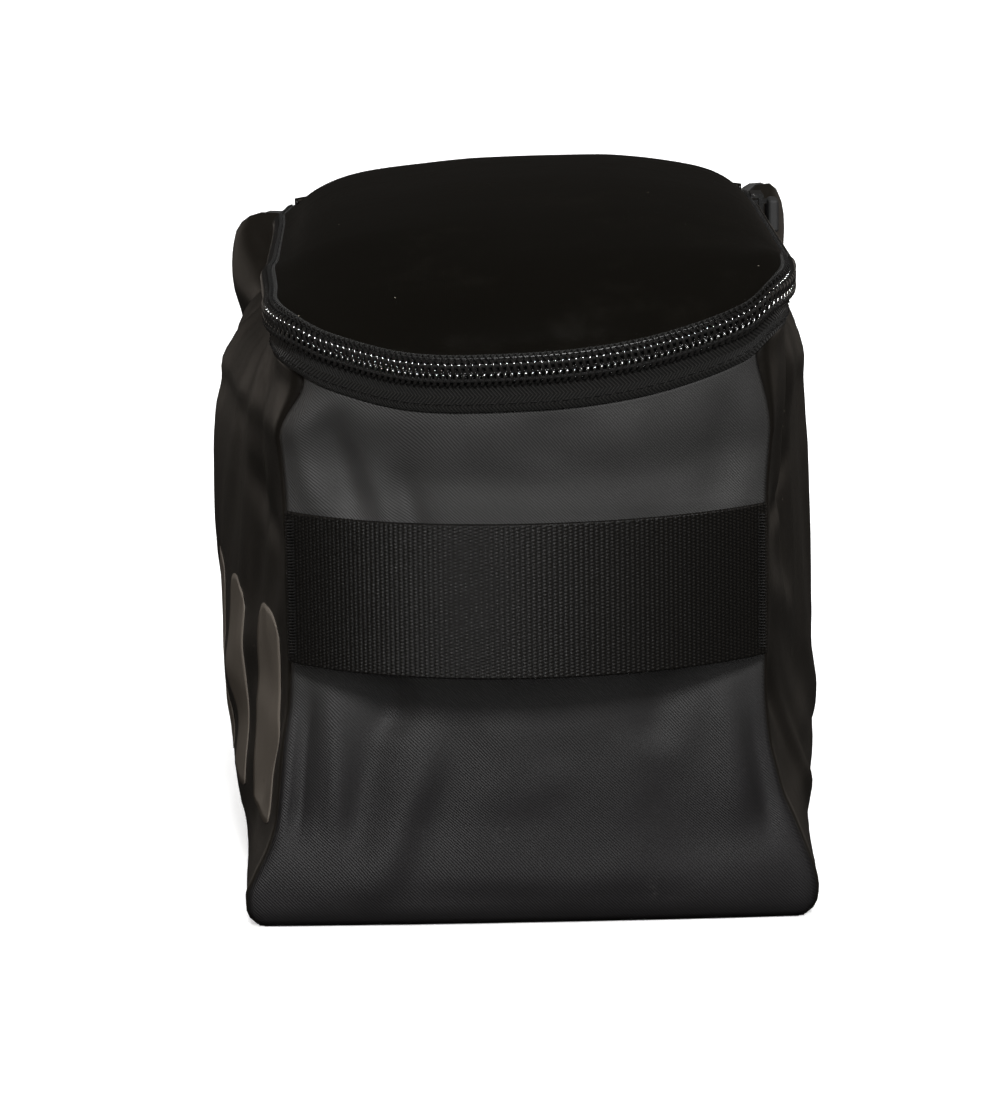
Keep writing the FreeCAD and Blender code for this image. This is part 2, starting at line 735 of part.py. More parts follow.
def pull_tab():
    """Flat pull with an eye round the slider's pin, lying along the closed zip."""
    tall = (-EYE_HALF_HEIGHT, EYE_HALF_HEIGHT)
    centre = V(ZIP_HALF_WIDTH + PIN_STANDOFF, SLIDER_Y, ZIP_SIDE_Z - EYE_HALF_HEIGHT)
    eye = Part.makeCylinder(EYE_RADIUS, 2 * EYE_HALF_HEIGHT, centre, V(0, 0, 1))
    hole = Part.makeCylinder(PIN_RADIUS + EYE_GAP, 2 * EYE_HALF_HEIGHT, centre, V(0, 0, 1))
    thick = (PIN_STANDOFF - PULL_HALF_THICK, PIN_STANDOFF + PULL_HALF_THICK)
    neck = slider_box(thick, (-PULL_NECK_START, -PULL_NECK_END), tall)
    wide = (-PULL_HALF_WIDTH, PULL_HALF_WIDTH)
    blade = slider_box(thick, (-PULL_LENGTH, -PULL_HALF_WIDTH), wide)
    corners = [e for e in blade.Edges if abs(e.Length - 2 * PULL_HALF_THICK) < TOUCH]
    return eye.fuse(neck).cut(hole).fuse(blade.makeFillet(PULL_CORNER_RADIUS, corners))


def pull_grip():
    """Moulded sleeve on the pull's free end."""
    low = -PULL_LENGTH - GRIP_BEYOND
    high = -GRIP_START
    thick = (PIN_STANDOFF - GRIP_HALF_THICK, PIN_STANDOFF + GRIP_HALF_THICK)
    sleeve = slider_box(thick, (low, high), (-GRIP_HALF_WIDTH, GRIP_HALF_WIDTH))
    sleeve = sleeve.makeFillet(GRIP_EDGE_RADIUS, sleeve.Edges)
    half = PULL_HALF_THICK + GRIP_GAP
    wide = PULL_HALF_WIDTH + GRIP_GAP
    inside = (PIN_STANDOFF - half, PIN_STANDOFF + half)
    slot = slider_box(inside, (-PULL_LENGTH - GRIP_GAP, high + 1), (-wide, wide))
    return sleeve.cut(slot)


def parts():
    made = {
        "base_panel": base_panel(),
        "base_board": base_board(),
        "lining_floor": lining_floor(),
        "base_seam_binding": base_seam_binding(),
        "zip_tape_lower": zip_tape_lower(),
        "zip_coil_lower": zip_coil_lower(),
        "zip_bottom_stop": zip_bottom_stop(),
        "zip_top_stop_lower": zip_top_stop_lower(),
        "zip_top_stop_upper": zip_top_stop_upper(),
        "zip_end_tab_left": zip_end_tab(-1),
        "zip_end_tab_right": zip_end_tab(1),
        "hinge_strip": hinge_strip(),
        "handle_webbing": handle_webbing(),
        "handle_bartacks": handle_bartacks(),
        "side_print": side_print(),
        "zip_tape_upper": zip_tape_upper(),
        "zip_coil_upper": zip_coil_upper(),
        "lid_panel": lid_panel(),
        "lid_lining": lid_lining(),
        "lid_seam_binding": lid_seam_binding(),
        "zip_guard_flap": zip_guard_flap(),
        "slider_body": slider_body(),
        "slider_bridge": slider_bridge(),
        "pull_tab": pull_tab(),
        "pull_grip": pull_grip(),
    }
    for name in WALLS:
        long_name = name if name in ("front", "rear") else name + "_side"
        made[long_name + "_panel"] = outer_panel(name)
        made["lining_" + name] = lining_panel(name)
    for end in ("front", "rear"):
        for side, word in ((-1, "left"), (1, "right")):
            made[f"seam_binding_{end}_{word}"] = corner_binding(side, end)
    return made


def main():
    os.makedirs("parts", exist_ok=True)
    for name, shape in parts().items():
        shape.exportStep(f"parts/{name}.step")
        box = shape.BoundBox
        print(
            f"{name:26s} solids {len(shape.Solids)} valid {shape.isValid()} volume {shape.Volume:10.1f}"
            f"  x {box.XMin:7.2f} {box.XMax:7.2f}  y {box.YMin:7.2f} {box.YMax:7.2f}"
            f"  z {box.ZMin:7.2f} {box.ZMax:7.2f}"
        )


main()
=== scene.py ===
"""Looks of a zip-top box bag with an end handle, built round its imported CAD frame.

Shapes are worked out in millimetres in the frame's own axes, and become metres when a mesh is
made. +Z is up, the end with the webbing handle faces -Y, and the lid is hinged at the rear.
"""
import math

import bpy
import numpy as np
from mathutils import Matrix, Vector


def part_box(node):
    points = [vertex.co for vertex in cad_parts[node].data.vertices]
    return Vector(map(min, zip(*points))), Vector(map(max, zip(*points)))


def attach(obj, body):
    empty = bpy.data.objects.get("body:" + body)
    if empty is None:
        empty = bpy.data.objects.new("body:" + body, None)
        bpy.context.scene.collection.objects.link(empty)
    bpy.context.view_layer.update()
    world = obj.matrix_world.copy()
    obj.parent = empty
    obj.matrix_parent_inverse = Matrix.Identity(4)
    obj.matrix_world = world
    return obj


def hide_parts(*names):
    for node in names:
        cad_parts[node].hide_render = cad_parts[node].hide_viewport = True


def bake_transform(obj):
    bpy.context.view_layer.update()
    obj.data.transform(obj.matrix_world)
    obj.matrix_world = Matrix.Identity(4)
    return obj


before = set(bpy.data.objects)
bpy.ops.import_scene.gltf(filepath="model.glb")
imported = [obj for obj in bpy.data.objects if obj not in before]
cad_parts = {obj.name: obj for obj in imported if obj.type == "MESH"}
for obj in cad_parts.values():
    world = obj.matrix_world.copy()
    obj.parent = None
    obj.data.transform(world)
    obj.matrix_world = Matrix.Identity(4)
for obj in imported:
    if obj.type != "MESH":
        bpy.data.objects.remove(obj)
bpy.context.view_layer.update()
MM = 0.001


def box_mm(node):
    """A CAD node's lowest and highest corners, in millimetres."""
    return [np.array(corner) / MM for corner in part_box(node)]


# ---------------------------------------------------------------- sizes read from the frame
TAPE_LOW, TAPE_HIGH = box_mm("zip_tape_lower")
BASE_LOW = box_mm("base_panel")[0]
HANDLE_LOW, HANDLE_HIGH = box_mm("handle_webbing")
LID_CREST_Z = box_mm("lid_panel")[1][2] + 0.5

TAPE_LOWER_DEPTH = 10.0
TAPE_EDGE = 0.6
ZIP_HALF_WIDTH = TAPE_HIGH[0]
ZIP_FRONT_Y = TAPE_LOW[1]
ZIP_END_Y = TAPE_HIGH[1]
ZIP_FRONT_Z = TAPE_LOW[2] + TAPE_LOWER_DEPTH
ZIP_SIDE_Z = TAPE_HIGH[2] + TAPE_EDGE
ZIP_RISE = ZIP_SIDE_Z - ZIP_FRONT_Z
ZIP_RISE_LENGTH = 115.0
FRONT_RADIUS = 228.0
CORNER_RADIUS = 25.0
REAR_RADIUS = 15.0
RIM_REAR_Y = box_mm("hinge_strip")[1][1]

BASE_FRONT_Y = BASE_LOW[1] - 0.5
BASE_REAR_Y = RIM_REAR_Y + 4.0
PANEL_TUCK = 9.0
FABRIC = 1.0
LINING = 0.5
LINING_GAP = 0.7

# ---------------------------------------------------------------- the rim that the zip follows
MEET_ANGLE = math.asin((ZIP_HALF_WIDTH - CORNER_RADIUS) / (FRONT_RADIUS - CORNER_RADIUS))
FRONT_CENTRE_Y = ZIP_FRONT_Y + FRONT_RADIUS
CORNER_CENTRE_Y = FRONT_CENTRE_Y - (FRONT_RADIUS - CORNER_RADIUS) * math.cos(MEET_ANGLE)
FRONT_ARC = FRONT_RADIUS * MEET_ANGLE
SIDE_START = FRONT_ARC + CORNER_RADIUS * (math.pi / 2 - MEET_ANGLE)
CORNER_MIDDLE = FRONT_ARC + CORNER_RADIUS * (math.pi / 4 - MEET_ANGLE)
ZIP_END = SIDE_START + ZIP_END_Y - CORNER_CENTRE_Y
STRAIGHT_END = SIDE_START + RIM_REAR_Y - REAR_RADIUS - CORNER_CENTRE_Y
REAR_CORNER_MIDDLE = STRAIGHT_END + REAR_RADIUS * math.pi / 4
REAR_CORNER_END = STRAIGHT_END + REAR_RADIUS * math.pi / 2
REAR_MIDDLE = REAR_CORNER_END + ZIP_HALF_WIDTH - REAR_RADIUS


def rim(s, offset=0.0):
    """Plan position at the distance s along the rim from the front middle, s > 0 to the right."""
    side = np.where(s < 0, -1.0, 1.0)
    d = np.abs(s)
    front = d / FRONT_RADIUS
    corner = MEET_ANGLE + (d - FRONT_ARC) / CORNER_RADIUS
    rear = (d - STRAIGHT_END) / REAR_RADIUS
    where = [d <= FRONT_ARC, d <= SIDE_START, d <= STRAIGHT_END, d <= REAR_CORNER_END]
    xs = [
        (FRONT_RADIUS + offset) * np.sin(front),
        ZIP_HALF_WIDTH - CORNER_RADIUS + (CORNER_RADIUS + offset) * np.sin(corner),
        ZIP_HALF_WIDTH + offset + 0 * d,
        ZIP_HALF_WIDTH - REAR_RADIUS + (REAR_RADIUS + offset) * np.cos(rear),
    ]
    ys = [
        FRONT_CENTRE_Y - (FRONT_RADIUS + offset) * np.cos(front),
        CORNER_CENTRE_Y - (CORNER_RADIUS + offset) * np.cos(corner),
        CORNER_CENTRE_Y + d - SIDE_START,
        RIM_REAR_Y - REAR_RADIUS + (REAR_RADIUS + offset) * np.sin(rear),
    ]
    x = np.select(where, xs, REAR_MIDDLE - d)
    y = np.select(where, ys, RIM_REAR_Y + offset + 0 * d)
    return side * x, y


def zip_z(s):
    """Height of the zip's centre line at the distance s from the front middle."""
    turn = math.pi * np.minimum(np.abs(s), ZIP_RISE_LENGTH) / ZIP_RISE_LENGTH
    return ZIP_FRONT_Z + ZIP_RISE * (1 - np.cos(turn)) / 2


def rim_points(s, offset, lift):
    x, y = rim(s, offset)
    return np.stack([x, y, zip_z(s) + lift], -1)


def bump(distance):
    """1 at no distance, falling smoothly to 0."""
    return np.exp(-np.square(distance))


def ramp(value, low, high):
    """0 below low, 1 above high, smooth between them."""
    t = np.clip((value - low) / (high - low), 0.0, 1.0)
    return t * t * (3 - 2 * t)


def smooth_curve(pairs):
    """A smooth function through (position, value) pairs that never overshoots them."""
    xs, ys = np.array(pairs, float).T
    slopes = np.diff(ys) / np.diff(xs)
    tangents = np.zeros(len(xs))
    before, after = slopes[:-1], slopes[1:]
    same_way = before * after > 0
    mean = 2 * before * after / np.where(same_way, before + after, 1.0)
    tangents[1:-1] = np.where(same_way, mean, 0.0)

    def value(x):
        x = np.clip(x, xs[0], xs[-1])
        i = np.clip(np.searchsorted(xs, x) - 1, 0, len(xs) - 2)
        h = xs[i + 1] - xs[i]
        t = (x - xs[i]) / h
        start = ys[i] * (1 + 2 * t) + tangents[i] * h * t
        end = ys[i + 1] * (3 - 2 * t) - tangents[i + 1] * h * (1 - t)
        return start * (1 - t) ** 2 + end * t * t

    return value


ZIP_SAG = smooth_curve(
    ((-64, -0.6), (-52, -1.8), (-34, -2.2), (0, 0), (30, 0.7), (56, 2.6), (65, 5.6))
)
LEFT_EDGE_IN = smooth_curve(
    ((-98, 0), (-62, 3.4), (-20, 2.2), (40, 0), (95, -2.6), (120, -2.4), (139, -1.4))
)
LEFT_REAR_DROOP = 2.6
LEFT_CORNER_IN = 5.2
RIGHT_CORNER_IN = 2.2


def settle(points, start=100.0):
    """How the standing bag leans from its cut shape, above the start height: the zip's two front
    corners are pushed in, its front hangs lower on the left than on the right, and the rear left
    corner droops."""
    x, y, z = points[..., 0], points[..., 1], points[..., 2]
    high = ramp(z, start, 138.0)
    front = 1 - ramp(y, -100.0, -66.0)
    moved = points.copy()
    corners = (LEFT_CORNER_IN * ramp(-x, 20.0, 64.0) - RIGHT_CORNER_IN * ramp(x, 25.0, 64.0)) * front
    moved[..., 0] = x + (corners + LEFT_EDGE_IN(y) * ramp(-x, 10.0, 60.0)) * high
    droop = LEFT_REAR_DROOP * ramp(-x, 40.0, 68.0) * ramp(y, 50.0, 125.0) * high
    moved[..., 2] = z + ZIP_SAG(x) * front * high - droop
    return moved


# ---------------------------------------------------------------- the body's walls
# Each curve gives a plan size at a height above the ground.
FRONT_HALF = {
    "left": smooth_curve(
        ((0, 68.5), (3, 71), (8, 71.2), (13, 69.2), (20, 65.6), (27, 63.6), (36, 62.6), (46, 61.6))
        + ((57, 59.9), (70, 59.5), (105, 60), (120, 61), (140, 64))
    ),
    "right": smooth_curve(
        ((0, 69), (3, 71.6), (8, 72.2), (14, 70.9), (20, 68.6), (26, 66.2), (31, 64.0))
        + ((37, 62.3), (46, 60.4), (57, 59.6), (105, 60), (120, 61), (140, 63.5))
    ),
}
FRONT_BEHIND = {
    "left": smooth_curve(((0, -3.0), (3, -4.8), (9, -5.0), (28, -2.0), (58, 2.3), (95, 2.6), (138, 0))),
    "right": smooth_curve(((0, 0.6), (3, -1.4), (9, -1.8), (28, 0.4), (58, 2.4), (95, 2.6), (138, 0))),
}
FRONT_BOW = smooth_curve(((0, 1.6), (8, 2.4), (30, 4.6), (58, 7), (85, 8.6), (110, 10), (131, 12)))
SIDE_BELLY = {
    "left": smooth_curve(
        ((0, 0.5), (4, 2.0), (10, 5.6), (17, 11.2), (24, 14.4), (31, 15.2), (38, 15.4))
        + ((44, 16.2), (51, 17.6), (60, 18), (75, 17.8), (100, 16.2))
        + ((112, 14.6), (122, 12.2), (130, 12.4), (137, 15.6))
    ),
    "right": smooth_curve(
        ((0, 0.6), (4, 0.8), (10, 1.4), (17, 5.0), (24, 8.8), (31, 10.8), (38, 12))
        + ((44, 12.4), (51, 12.4), (60, 11.6), (75, 10.2), (100, 8.4))
        + ((112, 7.0), (122, 6.2), (130, 6.8), (137, 8.6))
    ),
}
REAR_HALF = smooth_curve(((0, 67), (6, 71), (32, 73), (60, 74.5), (90, 76), (115, 77.5), (137, 77)))
REAR_INSIDE = smooth_curve(((0, 4), (7, 1), (30, 0.6), (90, 1), (137, 2.6)))
REAR_BOW = smooth_curve(((0, 1), (8, 1.6), (30, 2.6), (90, 3.2), (137, 2)))
LOW_SHARE = 0.90


def top_height(s):
    """Height of a wall's top edge, tucked behind the lower tape."""
    return zip_z(s) - PANEL_TUCK


def wall_columns(wall, u):
    """Distances along the rim for a wall's columns, u from its first end to its last."""
    if wall == "front":
        return u * CORNER_MIDDLE
    if wall == "rear":
        side = np.where(u < 0, -1.0, 1.0)
        return side * (REAR_MIDDLE - (REAR_MIDDLE - REAR_CORNER_MIDDLE) * np.abs(u))
    along = CORNER_MIDDLE + (REAR_CORNER_MIDDLE - CORNER_MIDDLE) * u
    return along if wall == "right" else -along


def lower_plan(wall, u, z):
    """Plan position of a wall below its top stretch."""
    if wall == "front":
        half = np.where(u < 0, FRONT_HALF["left"](z), FRONT_HALF["right"](z))
        to_right = 0.5 + 0.5 * u
        behind = FRONT_BEHIND["left"](z) * (1 - to_right) + FRONT_BEHIND["right"](z) * to_right
        return half * u, BASE_FRONT_Y + behind - FRONT_BOW(z) * (1 - u * u)
    if wall == "rear":
        return REAR_HALF(z) * u, BASE_REAR_Y - REAR_INSIDE(z) + REAR_BOW(z) * (1 - u * u)
    near = FRONT_HALF[wall](z)
    belly = SIDE_BELLY[wall](z) * np.clip(np.sin(math.pi * u), 0, 1) ** 1.25
    x = near + (REAR_HALF(z) - near) * u + belly
    front_y = BASE_FRONT_Y + FRONT_BEHIND[wall](z)
    y = front_y + (BASE_REAR_Y - REAR_INSIDE(z) - front_y) * u
    return (x if wall == "right" else -x), y


def wall_grid(wall, us, shares):
    """A wall's surface as a grid of points, column by column."""
    u, share = np.meshgrid(us, shares, indexing="ij")
    s = wall_columns(wall, u)
    z = top_height(s) * share
    x, y = lower_plan(wall, u, z)
    top_x, top_y = rim(s, -0.7)
    t = ramp(share, LOW_SHARE - 0.06, 1.0)
    return np.stack([x + (top_x - x) * t, y + (top_y - y) * t, z], -1)


FRONT_COLUMNS = 71
SIDE_COLUMNS = 121
ROWS = 70


def loop_parts():
    """The four walls in order round the bag, each with its columns' u values, and its range of
    columns in the loop. Neighbouring walls share the column on their seam."""
    order = [
        ("front", np.linspace(-1, 1, FRONT_COLUMNS)),
        ("right", np.linspace(0, 1, SIDE_COLUMNS)),
        ("rear", np.linspace(1, -1, FRONT_COLUMNS)),
        ("left", np.linspace(1, 0, SIDE_COLUMNS)),
    ]
    parts, first = {}, 0
    for wall, us in order:
        parts[wall] = (us, first)
        first += len(us) - 1
    return parts, first


PARTS, LOOP = loop_parts()
SHARES = np.linspace(0, 1, ROWS)


def body_loop():
    """The whole body as one closed grid, LOOP columns by ROWS."""
    grid = np.zeros((LOOP, ROWS, 3))
    for wall, (us, first) in PARTS.items():
        grid[first:first + len(us) - 1] = wall_grid(wall, us, SHARES)[:-1]
    return grid


def wall_of_loop(loop, wall):
    """A wall's own columns of the loop, both seams included."""
    us, first = PARTS[wall]
    return loop[(first + np.arange(len(us))) % LOOP]


def loop_normals(grid):
    """Outward normals of the closed loop grid."""
    across = np.roll(grid, -1, 0) - np.roll(grid, 1, 0)
    up = np.gradient(grid, axis=1)
    normal = np.cross(across, up)
    return normal / np.linalg.norm(normal, axis=-1, keepdims=True)


# Folds on each wall: where one starts and ends, as (mm across the wall, mm up), its width and
# how far it stands out, or in where that is negative. Across is x on the front and rear, and y
# on the sides.
FOLDS = {
    "front": (
        ((-57, 132), (-51, 104), 5.0, 2.18),
        ((-49, 130), (-42, 104), 4.5, -2.31),
        ((-38, 118), (-30, 96), 4.0, 1.22),
        ((-31, 114), (-27, 96), 3.6, -1.77),
        ((-20, 122), (-17, 96), 6.0, 1.09),
        ((-36, 66), (-33, 50), 5.5, -2.86),
        ((-49, 62), (-47, 16), 4.5, 1.6),
        ((-36, 54), (-48, 14), 4.6, -1.2),
        ((-24, 46), (-40, 8), 6.0, 1.2),
        ((-15, 56), (-24, 22), 7.0, -0.95),
        ((-55, 56), (-58, 24), 1.7, -1.77),
        ((56, 50), (60, 24), 1.9, -1.63),
        ((49, 60), (53, 26), 4.5, 1.63),
        ((36, 64), (31, 46), 6.0, -1.77),
        ((30, 44), (45, 14), 8.0, -0.6),
        ((50, 132), (47, 106), 5.0, -1.36),
        ((56, 132), (55, 106), 3.2, 1.09),
        ((8, 132), (4, 118), 9.0, -1.09),
        ((24, 126), (28, 104), 6.0, 0.82),
        ((0, 62), (8, 40), 10.0, -0.82),
    ),
    "rear": (
        ((-40, 120), (-30, 60), 6.0, -2.4),
        ((34, 124), (42, 70), 6.0, -2.4),
        ((-52, 70), (-30, 20), 7.0, 2.2),
        ((50, 60), (28, 16), 7.0, 2.2),
        ((4, 110), (-6, 50), 9.0, 1.8),
    ),
    "left": (
        ((-98, 140), (-86, 78), 5.0, 0.6),
        ((-88, 141), (-70, 74), 5.6, -0.7),
        ((-74, 142), (-50, 74), 6.4, 0.8),
        ((-58, 142), (-26, 76), 7.0, -0.8),
        ((-104, 96), (-64, 108), 5.4, -0.9),
        ((-100, 76), (-50, 56), 8.0, 0.8),
        ((-106, 50), (-84, 26), 4.0, -0.9),
        ((-60, 62), (10, 30), 9.0, 1.4),
        ((-40, 40), (40, 18), 9.0, -1.2),
        ((14, 142), (34, 60), 9.0, 1.8),
        ((44, 142), (60, 56), 9.0, -2.2),
        ((76, 142), (80, 50), 9.0, 1.8),
        ((98, 146), (92, 60), 7.0, -2.4),
        ((114, 150), (104, 60), 5.0, 1.6),
        ((136, 158), (104, 128), 2.4, -3.6),
        ((128, 160), (96, 134), 2.2, 2.6),
        ((120, 156), (92, 128), 2.4, -2.4),
    ),
    "right": (
        ((-98, 138), (-86, 84), 5.0, 1.0),
        ((-86, 140), (-70, 78), 5.6, -1.2),
        ((-72, 140), (-50, 76), 6.6, 1.2),
        ((-102, 98), (-66, 110), 4.4, -1.2),
        ((-104, 82), (-58, 68), 6.0, 1.3),
        ((-106, 60), (-78, 32), 4.6, -1.9),
        ((-96, 50), (-60, 20), 5.5, 1.8),
        ((-60, 56), (6, 26), 9.0, -1.4),
        ((0, 142), (22, 60), 9.0, 1.7),
        ((32, 142), (48, 56), 9.0, -2.0),
        ((64, 142), (72, 56), 9.0, 1.7),
        ((90, 146), (86, 60), 7.0, -2.0),
        ((-20, 40), (50, 18), 9.0, 1.2),
        ((97, 162), (94, 138), 2.2, 1.8),
        ((105, 164), (101, 138), 2.0, -2.4),
        ((113, 166), (109, 136), 2.2, 2.0),
        ((121, 166), (117, 140), 2.0, -2.4),
    ),
}


def fold_height(wall, across, up):
    """How far the folds raise a wall at each point."""
    height = np.zeros_like(across)
    for (a0, z0), (a1, z1), width, depth in FOLDS[wall]:
        line = np.array([a1 - a0, z1 - z0], float)
        length = np.linalg.norm(line)
        line /= length
        along = (across - a0) * line[0] + (up - z0) * line[1]
        beside = (across - a0) * line[1] - (up - z0) * line[0]
        fade = 0.25 * length
        ends = ramp(along, -fade, fade) * ramp(length - along, -fade, fade)
        height += depth * ends * bump(beside / width)
    return height


def near_seams():
    """1 on the walls, falling to 0 at their corner seams, top and foot."""
    columns = np.ones(LOOP)
    for us, first in PARTS.values():
        gap = np.abs((np.arange(LOOP) - first + LOOP // 2) % LOOP - LOOP // 2)
        columns *= ramp(gap, 0.0, 3.5)
    rows = ramp(SHARES, 0.0, 0.08) * ramp(1 - SHARES, 0.0, 0.05)
    return columns[:, None] * rows[None, :]


EAR_REACH = 15.0
EARS = {
    # how far the fold stands out from the rim, and its height, by share of the wall's height
    "left": (
        smooth_curve(
            ((0.5, 14), (0.7, 20), (0.8, 23.5), (0.87, 25.5), (0.91, 24.5))
            + ((0.94, 20), (0.965, 12.5), (0.985, 4), (1, 0))
        ),
        smooth_curve(
            ((0.5, 74), (0.7, 105), (0.8, 125), (0.87, 143.5), (0.91, 152))
            + ((0.94, 157), (0.965, 158.8), (0.985, 156), (1, 150))
        ),
    ),
    "right": (
        smooth_curve(
            ((0.5, 12), (0.7, 14), (0.8, 14.8), (0.87, 15.8), (0.91, 17.0))
            + ((0.94, 15.5), (0.965, 11), (0.985, 4), (1, 0))
        ),
        smooth_curve(
            ((0.5, 74), (0.7, 105), (0.8, 126), (0.87, 145), (0.91, 154))
            + ((0.94, 160.5), (0.965, 163), (0.985, 158), (1, 148))
        ),
    ),
}


def raise_ears(grid):
    """The body's rear top corners stand up beside the lid as soft folded peaks."""
    raised = grid.copy()
    row = int(0.8 * (ROWS - 1))
    steps = np.linalg.norm(np.diff(grid[:, row], axis=0, append=grid[:1, row]), axis=1)
    place = np.concatenate([[0], np.cumsum(steps)[:-1]])
    top = grid[:, -1:, :2]
    outward = grid[:, row:row + 1, :2] - top
    outward /= np.linalg.norm(outward, axis=-1, keepdims=True)
    for side, (reach, height) in EARS.items():
        middle = PARTS["right"][1] + SIDE_COLUMNS - 1 if side == "right" else PARTS["left"][1]
        away = np.abs((place - place[middle] + steps.sum() / 2) % steps.sum() - steps.sum() / 2)
        near = bump(away / EAR_REACH)[:, None] * ramp(SHARES, 0.5, 0.75)[None, :]
        plan = top + outward * reach(SHARES)[None, :, None]
        heights = np.broadcast_to(height(SHARES)[None, :, None], (LOOP, ROWS, 1))
        raised += (np.concatenate([plan, heights], -1) - grid) * near[..., None]
    return raised


SEAM_DIP = 0.9


def sculpt(grid):
    """Adds the folds to the body, and turns its panels' edges in along the corner seams."""
    normal = loop_normals(grid)
    height = np.zeros((LOOP, ROWS))
    for wall, (us, first) in PARTS.items():
        columns = (first + np.arange(len(us))) % LOOP
        part = grid[columns]
        across = part[..., 0] if wall in ("front", "rear") else part[..., 1]
        height[columns] = fold_height(wall, across, part[..., 2])
    height *= near_seams()
    for _, first in PARTS.values():
        height[first] -= SEAM_DIP
    return grid + normal * height[..., None]


# ---------------------------------------------------------------- making meshes
def make_mesh(name, points, faces, uv=None):
    """A smooth mesh object from points and cloth places in millimetres and lists of corner
    numbers."""
    mesh = bpy.data.meshes.new(name)
    mesh.from_pydata((np.asarray(points).reshape(-1, 3) * MM).tolist(), [], list(faces))
    if uv is not None:
        layer = mesh.uv_layers.new(name="cloth")
        corners = np.zeros(len(mesh.loops), int)
        mesh.loops.foreach_get("vertex_index", corners)
        layer.data.foreach_set("uv", (np.asarray(uv).reshape(-1, 2) * MM)[corners].ravel())
    mesh.polygons.foreach_set("use_smooth", np.ones(len(mesh.polygons), bool))
    piece = bpy.data.objects.new(name, mesh)
    bpy.context.scene.collection.objects.link(piece)
    return piece


def grid_faces(columns, rows, closed_columns=False, closed_rows=False):
    """Quads of a grid whose point number is column * rows + row."""
    i, j = np.meshgrid(
        np.arange(columns if closed_columns else columns - 1),
        np.arange(rows if closed_rows else rows - 1),
        indexing="ij",
    )
    a = i * rows + j
    b = ((i + 1) % columns) * rows + j
    up = (j + 1) % rows - j
    return np.stack([a, b, b + up, a + up], -1).reshape(-1, 4).tolist()


def grid_lengths(grid):
    """Each point's distance along its row and up its column, for cloth that keeps its scale."""
    across = np.linalg.norm(np.diff(grid, axis=0), axis=-1)
    up = np.linalg.norm(np.diff(grid, axis=1), axis=-1)
    u = np.concatenate([np.zeros((1, grid.shape[1])), np.cumsum(across, 0)])
    v = np.concatenate([np.zeros((grid.shape[0], 1)), np.cumsum(up, 1)], 1)
    return np.stack([u - u[-1:] / 2, v], -1)


def sheet_from_grid(name, grid, thick):
    """A cloth sheet whose outer face is the grid; its thickness goes inward."""
    columns, rows = grid.shape[:2]
    piece = make_mesh(name, grid, grid_faces(columns, rows), grid_lengths(grid))
    return thicken(piece, thick)


def thicken(piece, thick, offset=-1.0):
    """Gives a sheet its thickness, inward unless the offset says otherwise."""
    solid = piece.modifiers.new("thickness", "SOLIDIFY")
    solid.thickness = thick * MM
    solid.offset = offset
    return piece


def closed_band(name, grid, uv):
    """A strip with a closed cross-section and closed ends."""
    columns, rows = grid.shape[:2]
    faces = grid_faces(columns, rows, closed_rows=True)
    faces.append(list(range(rows))[::-1])
    faces.append([(columns - 1) * rows + k for k in range(rows)])
    return make_mesh(name, grid, faces, uv)


def tube_rings(path, radius, sides):
    """Rings of points round a path."""
    ahead = np.gradient(path, axis=0)
    ahead /= np.linalg.norm(ahead, axis=1, keepdims=True)
    up = np.array([0.0, 0.0, 1.0]) + 0.02 * np.roll(ahead, 1, axis=1)
    side = np.cross(ahead, up)
    side /= np.linalg.norm(side, axis=1, keepdims=True)
    over = np.cross(side, ahead)
    angles = np.linspace(0, 2 * math.pi, sides, endpoint=False)
    turn = angles[None, :, None]
    ring = side[:, None] * np.cos(turn) + over[:, None] * np.sin(turn)
    return path[:, None] + ring * radius


def tubes(name, paths, radius, sides):
    """Many round threads as one piece, each with closed ends."""
    points, faces, first = [], [], 0
    for path in paths:
        rings = tube_rings(np.asarray(path), radius, sides)
        points.append(rings.reshape(-1, 3))
        quads = np.array(grid_faces(len(rings), sides, closed_rows=True))
        faces += (quads[:, ::-1] + first).tolist()
        faces.append((np.arange(sides) + first).tolist())
        faces.append((np.arange(sides)[::-1] + first + (len(rings) - 1) * sides).tolist())
        first += len(rings) * sides
    return make_mesh(name, np.concatenate(points), faces)


def cloth_places(along, around):
    """Cloth places of a grid from its columns' and its rows' distances."""
    return np.stack(np.broadcast_arrays(along[:, None], around[None, :]), -1)


def strip_along_rim(name, s, section):
    """A closed band along the rim; section is (offset, height) points round its cross-section."""
    grid = settle(np.stack([rim_points(s, offset, lift) for offset, lift in section], 1))
    steps = np.linalg.norm(np.diff(np.asarray(section, float), axis=0), axis=1)
    return closed_band(name, grid, cloth_places(s, np.concatenate([[0], np.cumsum(steps)])))


def paint_node(name, material):
    """Gives a CAD node that stays in view its material."""
    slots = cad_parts[name].data.materials
    slots.clear()
    slots.append(material)


def finish_piece(piece, body, material, replaced=()):
    """Gives a piece its material, its body and the CAD nodes that it stands for."""
    piece.data.materials.clear()
    piece.data.materials.append(material)
    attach(piece, body)
    if replaced:
        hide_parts(*replaced)
    return piece


